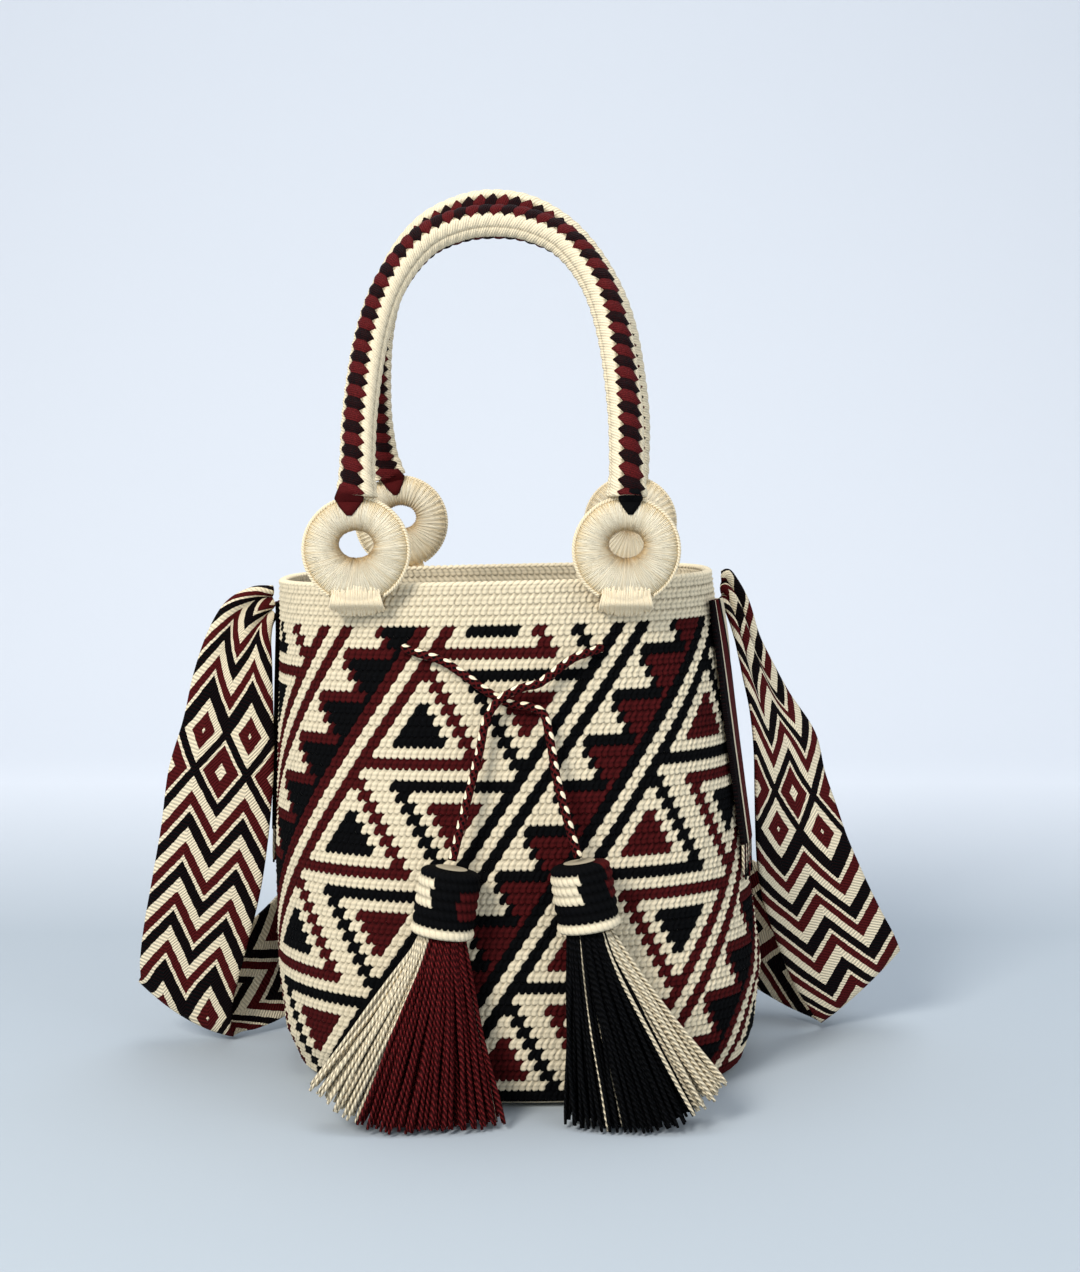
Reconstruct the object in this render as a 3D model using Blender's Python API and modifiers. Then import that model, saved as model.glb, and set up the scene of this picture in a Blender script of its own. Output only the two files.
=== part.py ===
"""A round crocheted shoulder bag: rope handles on wrapped rings, a woven strap, a drawstring with tassels.

Metres, +Z up, front towards -Y.  The origin is the middle of the underside of the base.
"""
import math

import bmesh
import bpy
from mathutils import Matrix, Vector

# ---- driving dimensions (metres) ----
GAP = 0.0003                # kept between neighbours that touch
WALL = 0.0035               # thickness of the crocheted fabric
RIM_Z = 0.299               # height of the rim above the base, at its middle
RIM_TILT = 0.022            # rise of the rim per metre towards +X
BODY_SIDES = 64             # facets round the bag

# The bag's level sections: height, middle in X, half width, half depth, exponent of the superellipse.
SECTIONS = [
    (0.000, 0.010, 0.127, 0.101, 2.3),
    (0.004, 0.010, 0.136, 0.110, 2.3),
    (0.026, 0.009, 0.144, 0.115, 2.4),
    (0.064, 0.009, 0.148, 0.113, 2.4),
    (0.127, 0.004, 0.144, 0.106, 2.4),
    (0.200, 0.000, 0.138, 0.097, 2.5),
    (0.262, -0.003, 0.133, 0.091, 2.6),
    (RIM_Z, -0.0055, 0.1305, 0.088, 2.6),
]

CORD_R = 0.0025             # drawstring
EYELET_R = 0.0031
EYELET_Z = 0.262
FRONT_EYELETS = (-0.055, 0.055)
BACK_EYELETS = (-0.050, 0.050)

RING_OUTER = 0.0295         # radius of a ring's outer edge
HOLE_RISE = 0.0034          # the hole's middle above the ring's middle
HOLE_HALF_W = 0.0095
HOLE_HALF_H = 0.0074
BAND_FLAT = 0.0065          # half the band's thickness
HANDLE_R = 0.010
TAB_SIZE = (0.028, 0.0030, 0.009)   # the lashing that sews a ring to the rim
TAB_DROP = 0.0048           # its middle below the ring's lower edge
TAB_OUT = 0.0018            # its middle in front of the wall

FRONT_RING_Y = -0.095
FRONT_RING_Z = 0.318
FRONT_RING_X = (-0.082, 0.070)
BACK_RING_Y = 0.096
BACK_RING_Z = 0.327
BACK_RING_X = (-0.070, 0.081)

STRAP_T = 0.003
STRAP_CLEAR = 0.0060        # middle of the strap off the wall behind the bag
TAIL_CLEAR = 0.0042         # middle of a tail off the side wall
TAIL_END_Z = 0.118          # lower end of the strap's fringed tails

CREAM = (0.86, 0.78, 0.62, 1.0)
BURGUNDY = (0.20, 0.03, 0.04, 1.0)
BLACK = (0.02, 0.02, 0.025, 1.0)


# ---- scene ----
for old in list(bpy.data.objects):
    bpy.data.objects.remove(old, do_unlink=True)
PARTS = bpy.data.collections.new("crocheted_shoulder_bag")
CUTTERS = bpy.data.collections.new("cutters")
bpy.context.scene.collection.children.link(PARTS)
bpy.context.scene.collection.children.link(CUTTERS)


def material(name, colour, roughness):
    made = bpy.data.materials.new(name)
    made.use_nodes = True
    shader = made.node_tree.nodes["Principled BSDF"]
    shader.inputs["Base Color"].default_value = colour
    shader.inputs["Roughness"].default_value = roughness
    return made


CROCHET = material("crochet", CREAM, 0.85)
SATIN = material("satin_thread", CREAM, 0.45)
ROPE = material("braided_rope", CREAM, 0.7)
WOVEN = material("woven_strap", BURGUNDY, 0.85)
CORD = material("drawstring_cord", BLACK, 0.85)
CAP = material("tassel_cap", BLACK, 0.85)
YARN = material("tassel_yarn", BURGUNDY, 0.9)


def put(obj, mat, collection=PARTS, origin=(0.0, 0.0, 0.0)):
    """Move an object's geometry so that its origin is at a point, and file it with its material."""
    for group in list(obj.users_collection):
        group.objects.unlink(obj)
    collection.objects.link(obj)
    if mat is not None:
        obj.data.materials.clear()
        obj.data.materials.append(mat)
    if tuple(origin) != (0.0, 0.0, 0.0):
        obj.data.transform(Matrix.Translation(-Vector(origin)))
        obj.location = origin
    return obj


def mesh_object(name, verts, faces, mat, origin=(0.0, 0.0, 0.0)):
    mesh = bpy.data.meshes.new(name)
    mesh.from_pydata([tuple(v) for v in verts], [], faces)
    mesh.validate()
    made = bpy.data.objects.new(name, mesh)
    bpy.context.scene.collection.objects.link(made)
    tidy = bmesh.new()
    tidy.from_mesh(mesh)
    bmesh.ops.recalc_face_normals(tidy, faces=tidy.faces)
    tidy.to_mesh(mesh)
    tidy.free()
    return put(made, mat, origin=origin)


def smooth(points, per_span):
    """Points on a Catmull-Rom curve through the given ones (tuples of any length)."""
    ends = [[2 * a - b for a, b in zip(points[0], points[1])]]
    ends += [list(p) for p in points]
    ends += [[2 * a - b for a, b in zip(points[-1], points[-2])]]
    out = []
    for i in range(1, len(ends) - 2):
        p0, p1, p2, p3 = ends[i - 1], ends[i], ends[i + 1], ends[i + 2]
        for k in range(per_span):
            t = k / per_span
            out.append(tuple(
                0.5 * (2 * b + (c - a) * t + (2 * a - 5 * b + 4 * c - d) * t * t
                       + (3 * b - a - 3 * c + d) * t ** 3)
                for a, b, c, d in zip(p0, p1, p2, p3)))
    out.append(tuple(points[-1]))
    return out


def tube(name, points, radius, mat, resolution=2, origin=(0.0, 0.0, 0.0)):
    curve = bpy.data.curves.new(name, "CURVE")
    curve.dimensions = "3D"
    curve.bevel_depth = radius
    curve.bevel_resolution = resolution
    curve.use_fill_caps = True
    line = curve.splines.new("POLY")
    line.points.add(len(points) - 1)
    for slot, point in zip(line.points, points):
        slot.co = (*point, 1.0)
    made = bpy.data.objects.new(name, curve)
    bpy.context.scene.collection.objects.link(made)
    return put(made, mat, origin=origin)


# ---- the bag's body ----
def section(z):
    """The level section at a height, between the two nearest given ones."""
    for low, high in zip(SECTIONS, SECTIONS[1:]):
        if z <= high[0]:
            break
    t = min(1.0, max(0.0, (z - low[0]) / (high[0] - low[0])))
    return [a + (b - a) * t for a, b in zip(low[1:], high[1:])]


def wall_point(angle, z):
    """The outer surface at an angle round the bag and a height."""
    mid, half_w, half_d, power = section(z)
    c, s = math.cos(angle), math.sin(angle)
    r = (abs(c) ** power + abs(s) ** power) ** (-1.0 / power)
    return Vector((mid + half_w * r * c, half_d * r * s, z))


def wall_normal(angle, z):
    along = wall_point(angle + 0.01, z) - wall_point(angle - 0.01, z)
    return Vector((along.y, -along.x, 0.0)).normalized()


def wall_y(x, z, side):
    """Depth of the outer surface at an x, on the front (side -1) or the back (side +1)."""
    mid, half_w, half_d, power = section(z)
    share = min(1.0, abs(x - mid) / half_w)
    return side * half_d * (1.0 - share ** power) ** (1.0 / power)


def angle_at(x, z, side):
    """The angle round the bag whose wall point has this x."""
    mid, half_w, half_d, power = section(z)
    return math.atan2(wall_y(x, z, side) / half_d, (x - mid) / half_w)


def eyelet(x, side):
    angle = angle_at(x, EYELET_Z, side)
    return wall_point(angle, EYELET_Z), wall_normal(angle, EYELET_Z), angle


def build_body():
    levels = [s[0] for s in SECTIONS[:5]] + [0.165, 0.200, 0.232, 0.262, RIM_Z]
    verts = []
    for z in levels:
        for i in range(BODY_SIDES):
            point = wall_point(2 * math.pi * i / BODY_SIDES, z)
            point.z += RIM_TILT * (point.x + 0.003) * (z / RIM_Z) ** 2
            verts.append(point)
    faces = [list(range(BODY_SIDES))[::-1]]
    for row in range(len(levels) - 1):
        for i in range(BODY_SIDES):
            j = (i + 1) % BODY_SIDES
            a = row * BODY_SIDES
            faces.append([a + i, a + j, a + BODY_SIDES + j, a + BODY_SIDES + i])
    body = mesh_object("bag_body", verts, faces, CROCHET)
    shell = body.modifiers.new("fabric", "SOLIDIFY")
    shell.thickness = WALL
    shell.offset = -1.0
    shell.use_even_offset = True
    for n, (x, side) in enumerate([(FRONT_EYELETS[0], -1), (FRONT_EYELETS[1], -1),
                                   (BACK_EYELETS[0], 1), (BACK_EYELETS[1], 1)]):
        place, out, _ = eyelet(x, side)
        bpy.ops.mesh.primitive_cylinder_add(vertices=16, radius=EYELET_R, depth=0.016)
        punch = bpy.context.object
        punch.name = "eyelet_cutter_%d" % n
        punch.rotation_mode = "QUATERNION"
        punch.rotation_quaternion = out.to_track_quat("Z", "Y")
        punch.location = place
        punch.hide_render = True
        punch.display_type = "WIRE"
        put(punch, None, CUTTERS)
        cut = body.modifiers.new("eyelet_%d" % n, "BOOLEAN")
        cut.operation = "DIFFERENCE"
        cut.object = punch
    return body


# ---- rings and handles ----
def hole_reach(angle):
    """Distance from a ring's middle to the edge of its oval hole, at an angle from straight up."""
    c, s = math.cos(angle), math.sin(angle)
    a = (s / HOLE_HALF_W) ** 2 + (c / HOLE_HALF_H) ** 2
    b = c * HOLE_RISE / HOLE_HALF_H ** 2
    return (b + math.sqrt(b * b - a * ((HOLE_RISE / HOLE_HALF_H) ** 2 - 1.0))) / a


def build_ring(name, x, y, z, axis_z):
    """A flattened ring with a round outer edge; its band is deeper below the hole than above it."""
    turns, around = 32, 12
    verts = []
    for i in range(turns):
        a = 2 * math.pi * i / turns
        inner = hole_reach(a)
        for k in range(around):
            b = 2 * math.pi * k / around
            r = (RING_OUTER + inner) / 2 + (RING_OUTER - inner) / 2 * math.cos(b)
            verts.append((x + r * math.sin(a), y + BAND_FLAT * math.sin(b), z + r * math.cos(a)))
    faces = []
    for i in range(turns):
        for k in range(around):
            a, b = i * around, (i + 1) % turns * around
            j = (k + 1) % around
            faces.append([a + k, a + j, b + j, b + k])
    ring = mesh_object(name, verts, faces, SATIN, origin=(x, y, axis_z))
    ring.data.shade_smooth()
    return ring


def build_lashing(name, x, y, z):
    """The sewn tab that holds a ring's lower edge to the rim."""
    bpy.ops.mesh.primitive_cube_add(size=1.0)
    tab = bpy.context.object
    tab.name = name
    tab.data.name = name
    tab.data.transform(Matrix.Diagonal((*TAB_SIZE, 1.0)))
    tab.location = (x, y, z)
    put(tab, SATIN)
    edge = tab.modifiers.new("round", "BEVEL")
    edge.width = 0.001
    edge.segments = 2
    return tab


RING_TOP = RING_OUTER + GAP
FRONT_HANDLE = [
    (-0.0815, FRONT_RING_Y, FRONT_RING_Z + RING_TOP), (-0.0812, -0.092, 0.368), (-0.0800, -0.082, 0.400),
    (-0.0745, -0.066, 0.440), (-0.0640, -0.054, 0.471), (-0.0465, -0.043, 0.494), (-0.0250, -0.037, 0.5045),
    (-0.0050, -0.035, 0.5070), (0.0150, -0.037, 0.5045), (0.0365, -0.043, 0.494), (0.0540, -0.054, 0.471),
    (0.0640, -0.066, 0.440), (0.0692, -0.082, 0.400), (0.0702, -0.092, 0.368),
    (0.0702, FRONT_RING_Y, FRONT_RING_Z + RING_TOP)]
BACK_HANDLE = [
    (-0.0779, BACK_RING_Y, 0.3565), (-0.0795, 0.0955, 0.3625), (-0.0820, 0.093, 0.374),
    (-0.0845, 0.080, 0.405), (-0.0810, 0.062, 0.450), (-0.0700, 0.049, 0.484),
    (-0.0510, 0.040, 0.509), (-0.0280, 0.036, 0.5215), (-0.0060, 0.035, 0.5250),
    (0.0170, 0.036, 0.5205), (0.0400, 0.041, 0.506), (0.0600, 0.050, 0.481), (0.0735, 0.062, 0.450),
    (0.0820, 0.080, 0.405), (0.0835, 0.092, 0.375), (0.0815, BACK_RING_Y, BACK_RING_Z + RING_TOP)]


def build_handles():
    front_axis = (0.0, FRONT_RING_Y, FRONT_RING_Z - RING_OUTER)
    back_axis = (0.0, BACK_RING_Y, BACK_RING_Z - RING_OUTER)
    tube("front_handle", smooth(FRONT_HANDLE, 3), HANDLE_R, ROPE, 4, front_axis)
    tube("back_handle", smooth(BACK_HANDLE, 3), HANDLE_R, ROPE, 4, back_axis)
    for side, x in zip(("left", "right"), FRONT_RING_X):
        build_ring("ring_front_" + side, x, FRONT_RING_Y, FRONT_RING_Z, front_axis[2])
        at = front_axis[2] - TAB_DROP
        build_lashing("ring_lashing_front_" + side, x, wall_behind_tab(x, at, -1) - TAB_OUT, at)
    for side, x in zip(("left", "right"), BACK_RING_X):
        build_ring("ring_back_" + side, x, BACK_RING_Y, BACK_RING_Z, back_axis[2])
        at = back_axis[2] - TAB_DROP
        build_lashing("ring_lashing_back_" + side, x, wall_behind_tab(x, at, 1) + TAB_OUT, at)


def wall_behind_tab(x, z, side):
    """The furthest out that the wall comes behind a tab, on the front (side -1) or the back (+1)."""
    half = TAB_SIZE[0] / 2
    return side * max(side * wall_y(x + d, z - TAB_SIZE[2] / 2, side) for d in (-half, 0.0, half))


# ---- drawstring ----
FRONT_LEFT_END = [
    (-0.0475, -0.0945, 0.2590), (-0.0350, -0.0960, 0.2560), (-0.0220, -0.0975, 0.2480),
    (-0.0110, -0.0985, 0.2400), (-0.0030, -0.0990, 0.2350), (0.0040, -0.0990, 0.2315),
    (0.0110, -0.0995, 0.2305), (0.0190, -0.1010, 0.2290), (0.0240, -0.1030, 0.2250),
    (0.0265, -0.1060, 0.2150), (0.0285, -0.1090, 0.2040), (0.0305, -0.1130, 0.1920),
    (0.0360, -0.1180, 0.1710), (0.0400, -0.1210, 0.1570), (0.0428, -0.1225, 0.1485)]
FRONT_RIGHT_END = [
    (0.0480, -0.0950, 0.2600), (0.0400, -0.0975, 0.2570), (0.0300, -0.1000, 0.2500),
    (0.0210, -0.1030, 0.2435), (0.0140, -0.1045, 0.2420), (0.0070, -0.1050, 0.2395),
    (0.0000, -0.1052, 0.2355), (-0.0060, -0.1055, 0.2290), (-0.0100, -0.1065, 0.2190),
    (-0.0120, -0.1080, 0.2080), (-0.0150, -0.1100, 0.1960), (-0.0195, -0.1140, 0.1780),
    (-0.0240, -0.1180, 0.1600), (-0.0275, -0.1210, 0.1460)]


CORD_OFF_WALL = 0.0016      # kept between the cord's runs and the fabric
CORD_TURN = 0.075           # angle round the bag in which the cord turns from an eyelet to the wall
STUB = 0.004                # how far the free ends stand straight out of the eyelets


def radial(place, out, *steps):
    return [tuple(place + out * d) for d in steps]


def wall_run(first, last, offset, count):
    """Points along the wall at eyelet height, at a distance from its outer surface."""
    out = []
    for i in range(count):
        angle = first + (last - first) * i / (count - 1)
        out.append(tuple(wall_point(angle, EYELET_Z) + wall_normal(angle, EYELET_Z) * offset))
    return out


def build_drawstring():
    fl, fl_out, fl_angle = eyelet(FRONT_EYELETS[0], -1)
    fr, fr_out, fr_angle = eyelet(FRONT_EYELETS[1], -1)
    bl, bl_out, bl_angle = eyelet(BACK_EYELETS[0], 1)
    br, br_out, br_angle = eyelet(BACK_EYELETS[1], 1)
    tube("drawstring_to_right_tassel",
         radial(fl, fl_out, GAP, STUB) + smooth(FRONT_LEFT_END, 2)[1:], CORD_R, CORD)
    tube("drawstring_to_left_tassel",
         radial(fr, fr_out, GAP, STUB) + smooth(FRONT_RIGHT_END, 2)[1:], CORD_R, CORD)
    inside = -WALL - CORD_R - CORD_OFF_WALL
    left = wall_run(fl_angle + 2 * math.pi - CORD_TURN, bl_angle + CORD_TURN, inside, 17)
    tube("drawstring_inside_left",
         radial(fl, fl_out, -GAP, inside) + left[1:-1] + radial(bl, bl_out, inside, -GAP), CORD_R, CORD)
    right = wall_run(fr_angle + CORD_TURN, br_angle - CORD_TURN, inside, 17)
    tube("drawstring_inside_right",
         radial(fr, fr_out, -GAP, inside) + right[1:-1] + radial(br, br_out, inside, -GAP), CORD_R, CORD)
    outside = CORD_R + CORD_OFF_WALL
    across = wall_run(bl_angle - CORD_TURN, br_angle + CORD_TURN, outside, 7)
    tube("drawstring_across_back",
         radial(bl, bl_out, GAP, outside) + across + radial(br, br_out, outside, GAP), CORD_R, CORD)


# ---- tassels ----
TASSELS = {
    # side: cap's top middle, cap's bottom middle, fan's middle on the ground, half width and depth
    "left": ((-0.0278, -0.1230, 0.1425), (-0.0335, -0.1240, 0.1050), (-0.0530, -0.1420), 0.056, 0.017),
    "right": ((0.0432, -0.1230, 0.1460), (0.0490, -0.1240, 0.1085), (0.0800, -0.1400), 0.046, 0.017),
}
CAP_R = 0.0172
# The cap's outline: share of its radius, share of its height.
CAP_PROFILE = [(0.0, 1.0), (0.40, 0.98), (0.75, 0.88), (0.96, 0.66), (1.0, 0.40), (0.97, 0.12), (0.80, 0.0),
               (0.0, 0.0)]
NECK_R = 0.0125             # radius of the skirt below the cap
TIP_Z = 0.0008              # the skirt's ends above the ground


def build_tassel(side, top, bottom, ground, half_w, half_d):
    top, bottom = Vector(top), Vector(bottom)
    line = top - bottom
    # The cap is a turned shape: a rounded crown over straight sides, on an object set along its axis.
    mesh = bpy.data.meshes.new("tassel_cap_" + side)
    verts = [(r * CAP_R, 0.0, h * line.length) for r, h in CAP_PROFILE]
    mesh.from_pydata(verts, [(i, i + 1) for i in range(len(verts) - 1)], [])
    cap = bpy.data.objects.new("tassel_cap_" + side, mesh)
    bpy.context.scene.collection.objects.link(cap)
    turn = cap.modifiers.new("turn", "SCREW")
    turn.axis = "Z"
    turn.steps = 20
    turn.render_steps = 20
    turn.use_merge_vertices = True
    turn.merge_threshold = 0.0001
    cap.rotation_mode = "QUATERNION"
    cap.rotation_quaternion = line.to_track_quat("Z", "Y")
    cap.location = bottom
    put(cap, CAP)
    # The skirt is a loft from the cap's round mouth to a flat fan on the ground.
    sides = 24
    rows = [0.0, 0.25, 0.5, 0.75, 1.0]
    start = bottom - line.normalized() * 2 * GAP
    verts = []
    for t in rows:
        ease = t ** 1.25
        mid = start.lerp(Vector((ground[0], ground[1], TIP_Z)), t)
        mid.y = start.y + (ground[1] - start.y) * t
        for i in range(sides):
            a = 2 * math.pi * i / sides
            rx = NECK_R + (half_w - NECK_R) * ease
            ry = NECK_R + (half_d - NECK_R) * ease
            tilt = -line.x / line.z * rx * math.cos(a) * (1.0 - t)
            verts.append((mid.x + rx * math.cos(a), mid.y + ry * math.sin(a), mid.z + tilt))
    faces = [list(range(sides))[::-1], [sides * (len(rows) - 1) + i for i in range(sides)]]
    for row in range(len(rows) - 1):
        for i in range(sides):
            j = (i + 1) % sides
            faces.append([row * sides + i, row * sides + j, (row + 1) * sides + j, (row + 1) * sides + i])
    mesh_object("tassel_skirt_" + side, verts, faces, YARN)


# ---- strap ----
# Pairs of points across the strap, from the rim's left corner to its right one: outer edge, inner edge.
STRAP_LEFT = [
    ((-0.1415, -0.004, 0.2910), (-0.1415, -0.004, 0.2720)),
    ((-0.1540, -0.008, 0.2905), (-0.1430, -0.007, 0.2660)),
    ((-0.1690, -0.011, 0.2820), (-0.1430, -0.010, 0.2580)),
    ((-0.1800, -0.012, 0.2640), (-0.1418, -0.012, 0.2470)),
    ((-0.1890, -0.012, 0.2390), (-0.1412, -0.013, 0.2310)),
    ((-0.1960, -0.011, 0.2110), (-0.1410, -0.013, 0.2070)),
    ((-0.2060, -0.008, 0.1800), (-0.1418, -0.011, 0.1770)),
    ((-0.2120, -0.004, 0.1440), (-0.1455, -0.007, 0.1410)),
    ((-0.2190, 0.000, 0.1100), (-0.1517, -0.003, 0.1030)),
    ((-0.2260, 0.006, 0.0780), (-0.1610, 0.003, 0.0680)),
    ((-0.2295, 0.010, 0.0560), (-0.1710, 0.010, 0.0330)),
    ((-0.2300, 0.014, 0.0440), (-0.1745, 0.015, 0.0120)),
    ((-0.2320, 0.019, 0.0400), (-0.1745, 0.021, 0.0040)),
    ((-0.2290, 0.026, 0.0430), (-0.1700, 0.029, 0.0040)),
    ((-0.2020, 0.034, 0.0550), (-0.1580, 0.036, 0.0045)),
    ((-0.1640, 0.044, 0.0730), (-0.1400, 0.052, 0.0110)),
    ((-0.1350, 0.070, 0.1000), (-0.1060, 0.094, 0.0340))]
STRAP_BACK = [
    ((-0.1020, 0.132), (-0.0720, 0.068)),
    ((-0.0650, 0.166), (-0.0400, 0.103)),
    ((-0.0260, 0.190), (-0.0140, 0.125)),
    ((0.0080, 0.197), (0.0080, 0.130)),
    ((0.0430, 0.188), (0.0300, 0.123)),
    ((0.0830, 0.162), (0.0570, 0.100)),
    ((0.1180, 0.132), (0.0880, 0.067))]
STRAP_RIGHT = [
    ((0.1560, 0.090, 0.1060), (0.1270, 0.103, 0.0380)),
    ((0.1920, 0.084, 0.0880), (0.1580, 0.093, 0.0200)),
    ((0.2260, 0.072, 0.0690), (0.1850, 0.076, 0.0070)),
    ((0.2450, 0.062, 0.0570), (0.1990, 0.060, 0.0042)),
    ((0.2530, 0.053, 0.0515), (0.2040, 0.050, 0.0042)),
    ((0.2530, 0.046, 0.0545), (0.1990, 0.042, 0.0095)),
    ((0.2475, 0.039, 0.0667), (0.1844, 0.033, 0.0331)),
    ((0.2401, 0.034, 0.0796), (0.1748, 0.025, 0.0554)),
    ((0.2317, 0.029, 0.0955), (0.1669, 0.016, 0.0766)),
    ((0.2234, 0.024, 0.1124), (0.1602, 0.006, 0.0966)),
    ((0.2144, 0.021, 0.1318), (0.1558, -0.006, 0.1208)),
    ((0.2068, 0.020, 0.1527), (0.1538, -0.014, 0.1447)),
    ((0.1994, 0.020, 0.1734), (0.1528, -0.018, 0.1676)),
    ((0.1928, 0.019, 0.1983), (0.1520, -0.018, 0.1936)),
    ((0.1756, 0.014, 0.2236), (0.1491, -0.018, 0.2175)),
    ((0.1635, 0.008, 0.2446), (0.1443, -0.017, 0.2383)),
    ((0.1548, 0.004, 0.2611), (0.1402, -0.015, 0.2560)),
    ((0.1475, 0.000, 0.2830), (0.1360, -0.010, 0.2730)),
    ((0.1375, -0.004, 0.3000), (0.1335, -0.006, 0.2800)),
    ((0.1318, -0.004, 0.3000), (0.1318, -0.004, 0.2800))]
# Where each fold on the ground sags: row, and how far its middle drops.
STRAP_SAGS = {12.0: 0.0060, 28.5: 0.0030}
SAG_SPREAD = 1.6            # rows on each side that a sag takes in
# side: sign in X, front edge in Y
TAILS = {"left": (-1, 0.004, 0.2810), "right": (1, -0.045, 0.2860)}


def pushed_out(point):
    """A point behind the bag, moved straight out until it clears the wall."""
    mid, half_w, half_d, power = section(point.z)
    depth = (abs((point.x - mid) / half_w) ** power + abs(point.y / half_d) ** power) ** (1.0 / power)
    least = 1.0 + STRAP_CLEAR / half_d
    if point.y < 0.05 or depth >= least:
        return point
    grow = least / depth
    return Vector((mid + (point.x - mid) * grow, point.y * grow, point.z))


def strap_rows():
    pairs = [a + b for a, b in STRAP_LEFT]
    for (ox, oz), (ix, iz) in STRAP_BACK:
        pairs.append((ox, wall_y(ox, oz, 1) + STRAP_CLEAR, oz, ix, wall_y(ix, iz, 1) + STRAP_CLEAR, iz))
    pairs += [a + b for a, b in STRAP_RIGHT]
    per_span = 2
    rows = []
    for i, pair in enumerate(smooth(pairs, per_span)):
        outer, inner = Vector(pair[:3]), Vector(pair[3:])
        row = [outer.lerp(inner, share) for share in (0.0, 0.5, 1.0)]
        row[1].z -= sum(deep * math.exp(-((i / per_span - at) / SAG_SPREAD) ** 2)
                        for at, deep in STRAP_SAGS.items())
        rows.append([pushed_out(point) for point in row])
    return rows


def tail_rows(sign, front_y, z_top):
    """A tail hangs on the side wall, gathered at its top and spread towards its end."""
    heights = [z_top, 0.262, 0.240, 0.210, 0.160, 0.130, TAIL_END_Z]
    widths = [0.020, 0.032, 0.048, 0.060, 0.066, 0.067, 0.067]
    rows = []
    for z, wide in zip(heights, widths):
        row = []
        for share in (0.0, 0.25, 0.5, 0.75, 1.0):
            y = front_y + wide * share
            mid, half_w, half_d, power = section(z)
            x = mid + sign * half_w * (1.0 - (abs(y) / half_d) ** power) ** (1.0 / power)
            angle = math.atan2(y / half_d, (x - mid) / half_w)
            row.append(Vector((x, y, z)) + wall_normal(angle, z) * TAIL_CLEAR)
        rows.append(row)
    return rows


def ribbon(name, rows):
    across = len(rows[0])
    verts = [point for row in rows for point in row]
    faces = []
    for row in range(len(rows) - 1):
        for k in range(across - 1):
            a = row * across + k
            faces.append([a, a + 1, a + across + 1, a + across])
    made = mesh_object(name, verts, faces, WOVEN)
    shell = made.modifiers.new("fabric", "SOLIDIFY")
    shell.thickness = STRAP_T
    shell.offset = 0.0
    return made


def build_strap():
    ribbon("shoulder_strap", strap_rows())
    for side, (sign, front_y, z_top) in TAILS.items():
        ribbon("strap_tail_" + side, tail_rows(sign, front_y, z_top))


build_body()
build_handles()
build_drawstring()
for tassel, sizes in TASSELS.items():
    build_tassel(tassel, *sizes)
build_strap()
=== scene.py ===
import math
import random

import bpy
import numpy as np
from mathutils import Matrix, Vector


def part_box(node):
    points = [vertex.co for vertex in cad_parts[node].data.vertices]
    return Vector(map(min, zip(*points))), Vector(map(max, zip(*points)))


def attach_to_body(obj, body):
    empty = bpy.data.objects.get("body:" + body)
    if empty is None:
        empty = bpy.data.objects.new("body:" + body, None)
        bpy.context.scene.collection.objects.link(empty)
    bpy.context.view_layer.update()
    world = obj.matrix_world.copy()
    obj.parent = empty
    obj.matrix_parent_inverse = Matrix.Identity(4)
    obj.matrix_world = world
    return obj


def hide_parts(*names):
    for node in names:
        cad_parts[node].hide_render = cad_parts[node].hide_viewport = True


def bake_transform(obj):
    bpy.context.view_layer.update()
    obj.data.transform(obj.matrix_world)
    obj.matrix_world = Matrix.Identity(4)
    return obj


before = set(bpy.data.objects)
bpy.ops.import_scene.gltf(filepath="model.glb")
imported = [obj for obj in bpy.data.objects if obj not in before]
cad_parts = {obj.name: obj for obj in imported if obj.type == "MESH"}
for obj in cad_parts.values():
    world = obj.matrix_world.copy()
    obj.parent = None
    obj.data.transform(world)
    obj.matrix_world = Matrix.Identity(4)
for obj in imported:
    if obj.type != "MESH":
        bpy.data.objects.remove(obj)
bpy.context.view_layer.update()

BAG = "bag"
FRONT = "front_handle_and_rings"
BACK = "back_handle_and_rings"
TAU = 2.0 * math.pi


# --- Camera, lights and stage ---
def make_camera():
    data = bpy.data.cameras.new("camera")
    data.lens = 55.6
    data.sensor_width = 36.0
    data.clip_start = 0.05
    cam = bpy.data.objects.new("camera", data)
    bpy.context.scene.collection.objects.link(cam)
    cam.location = (0.0214, -1.2, 0.373)
    cam.rotation_euler = (math.radians(90.0 - 5.35), 0.0, 0.0)
    bpy.context.scene.camera = cam


def area_light(name, place, target, size, power, colour=(1.0, 1.0, 1.0)):
    data = bpy.data.lights.new(name, "AREA")
    data.shape = "SQUARE"
    data.size = size
    data.energy = power
    data.color = colour
    lamp = bpy.data.objects.new(name, data)
    bpy.context.scene.collection.objects.link(lamp)
    lamp.location = place
    lamp.rotation_euler = (Vector(target) - Vector(place)).to_track_quat("-Z", "Y").to_euler()


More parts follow.
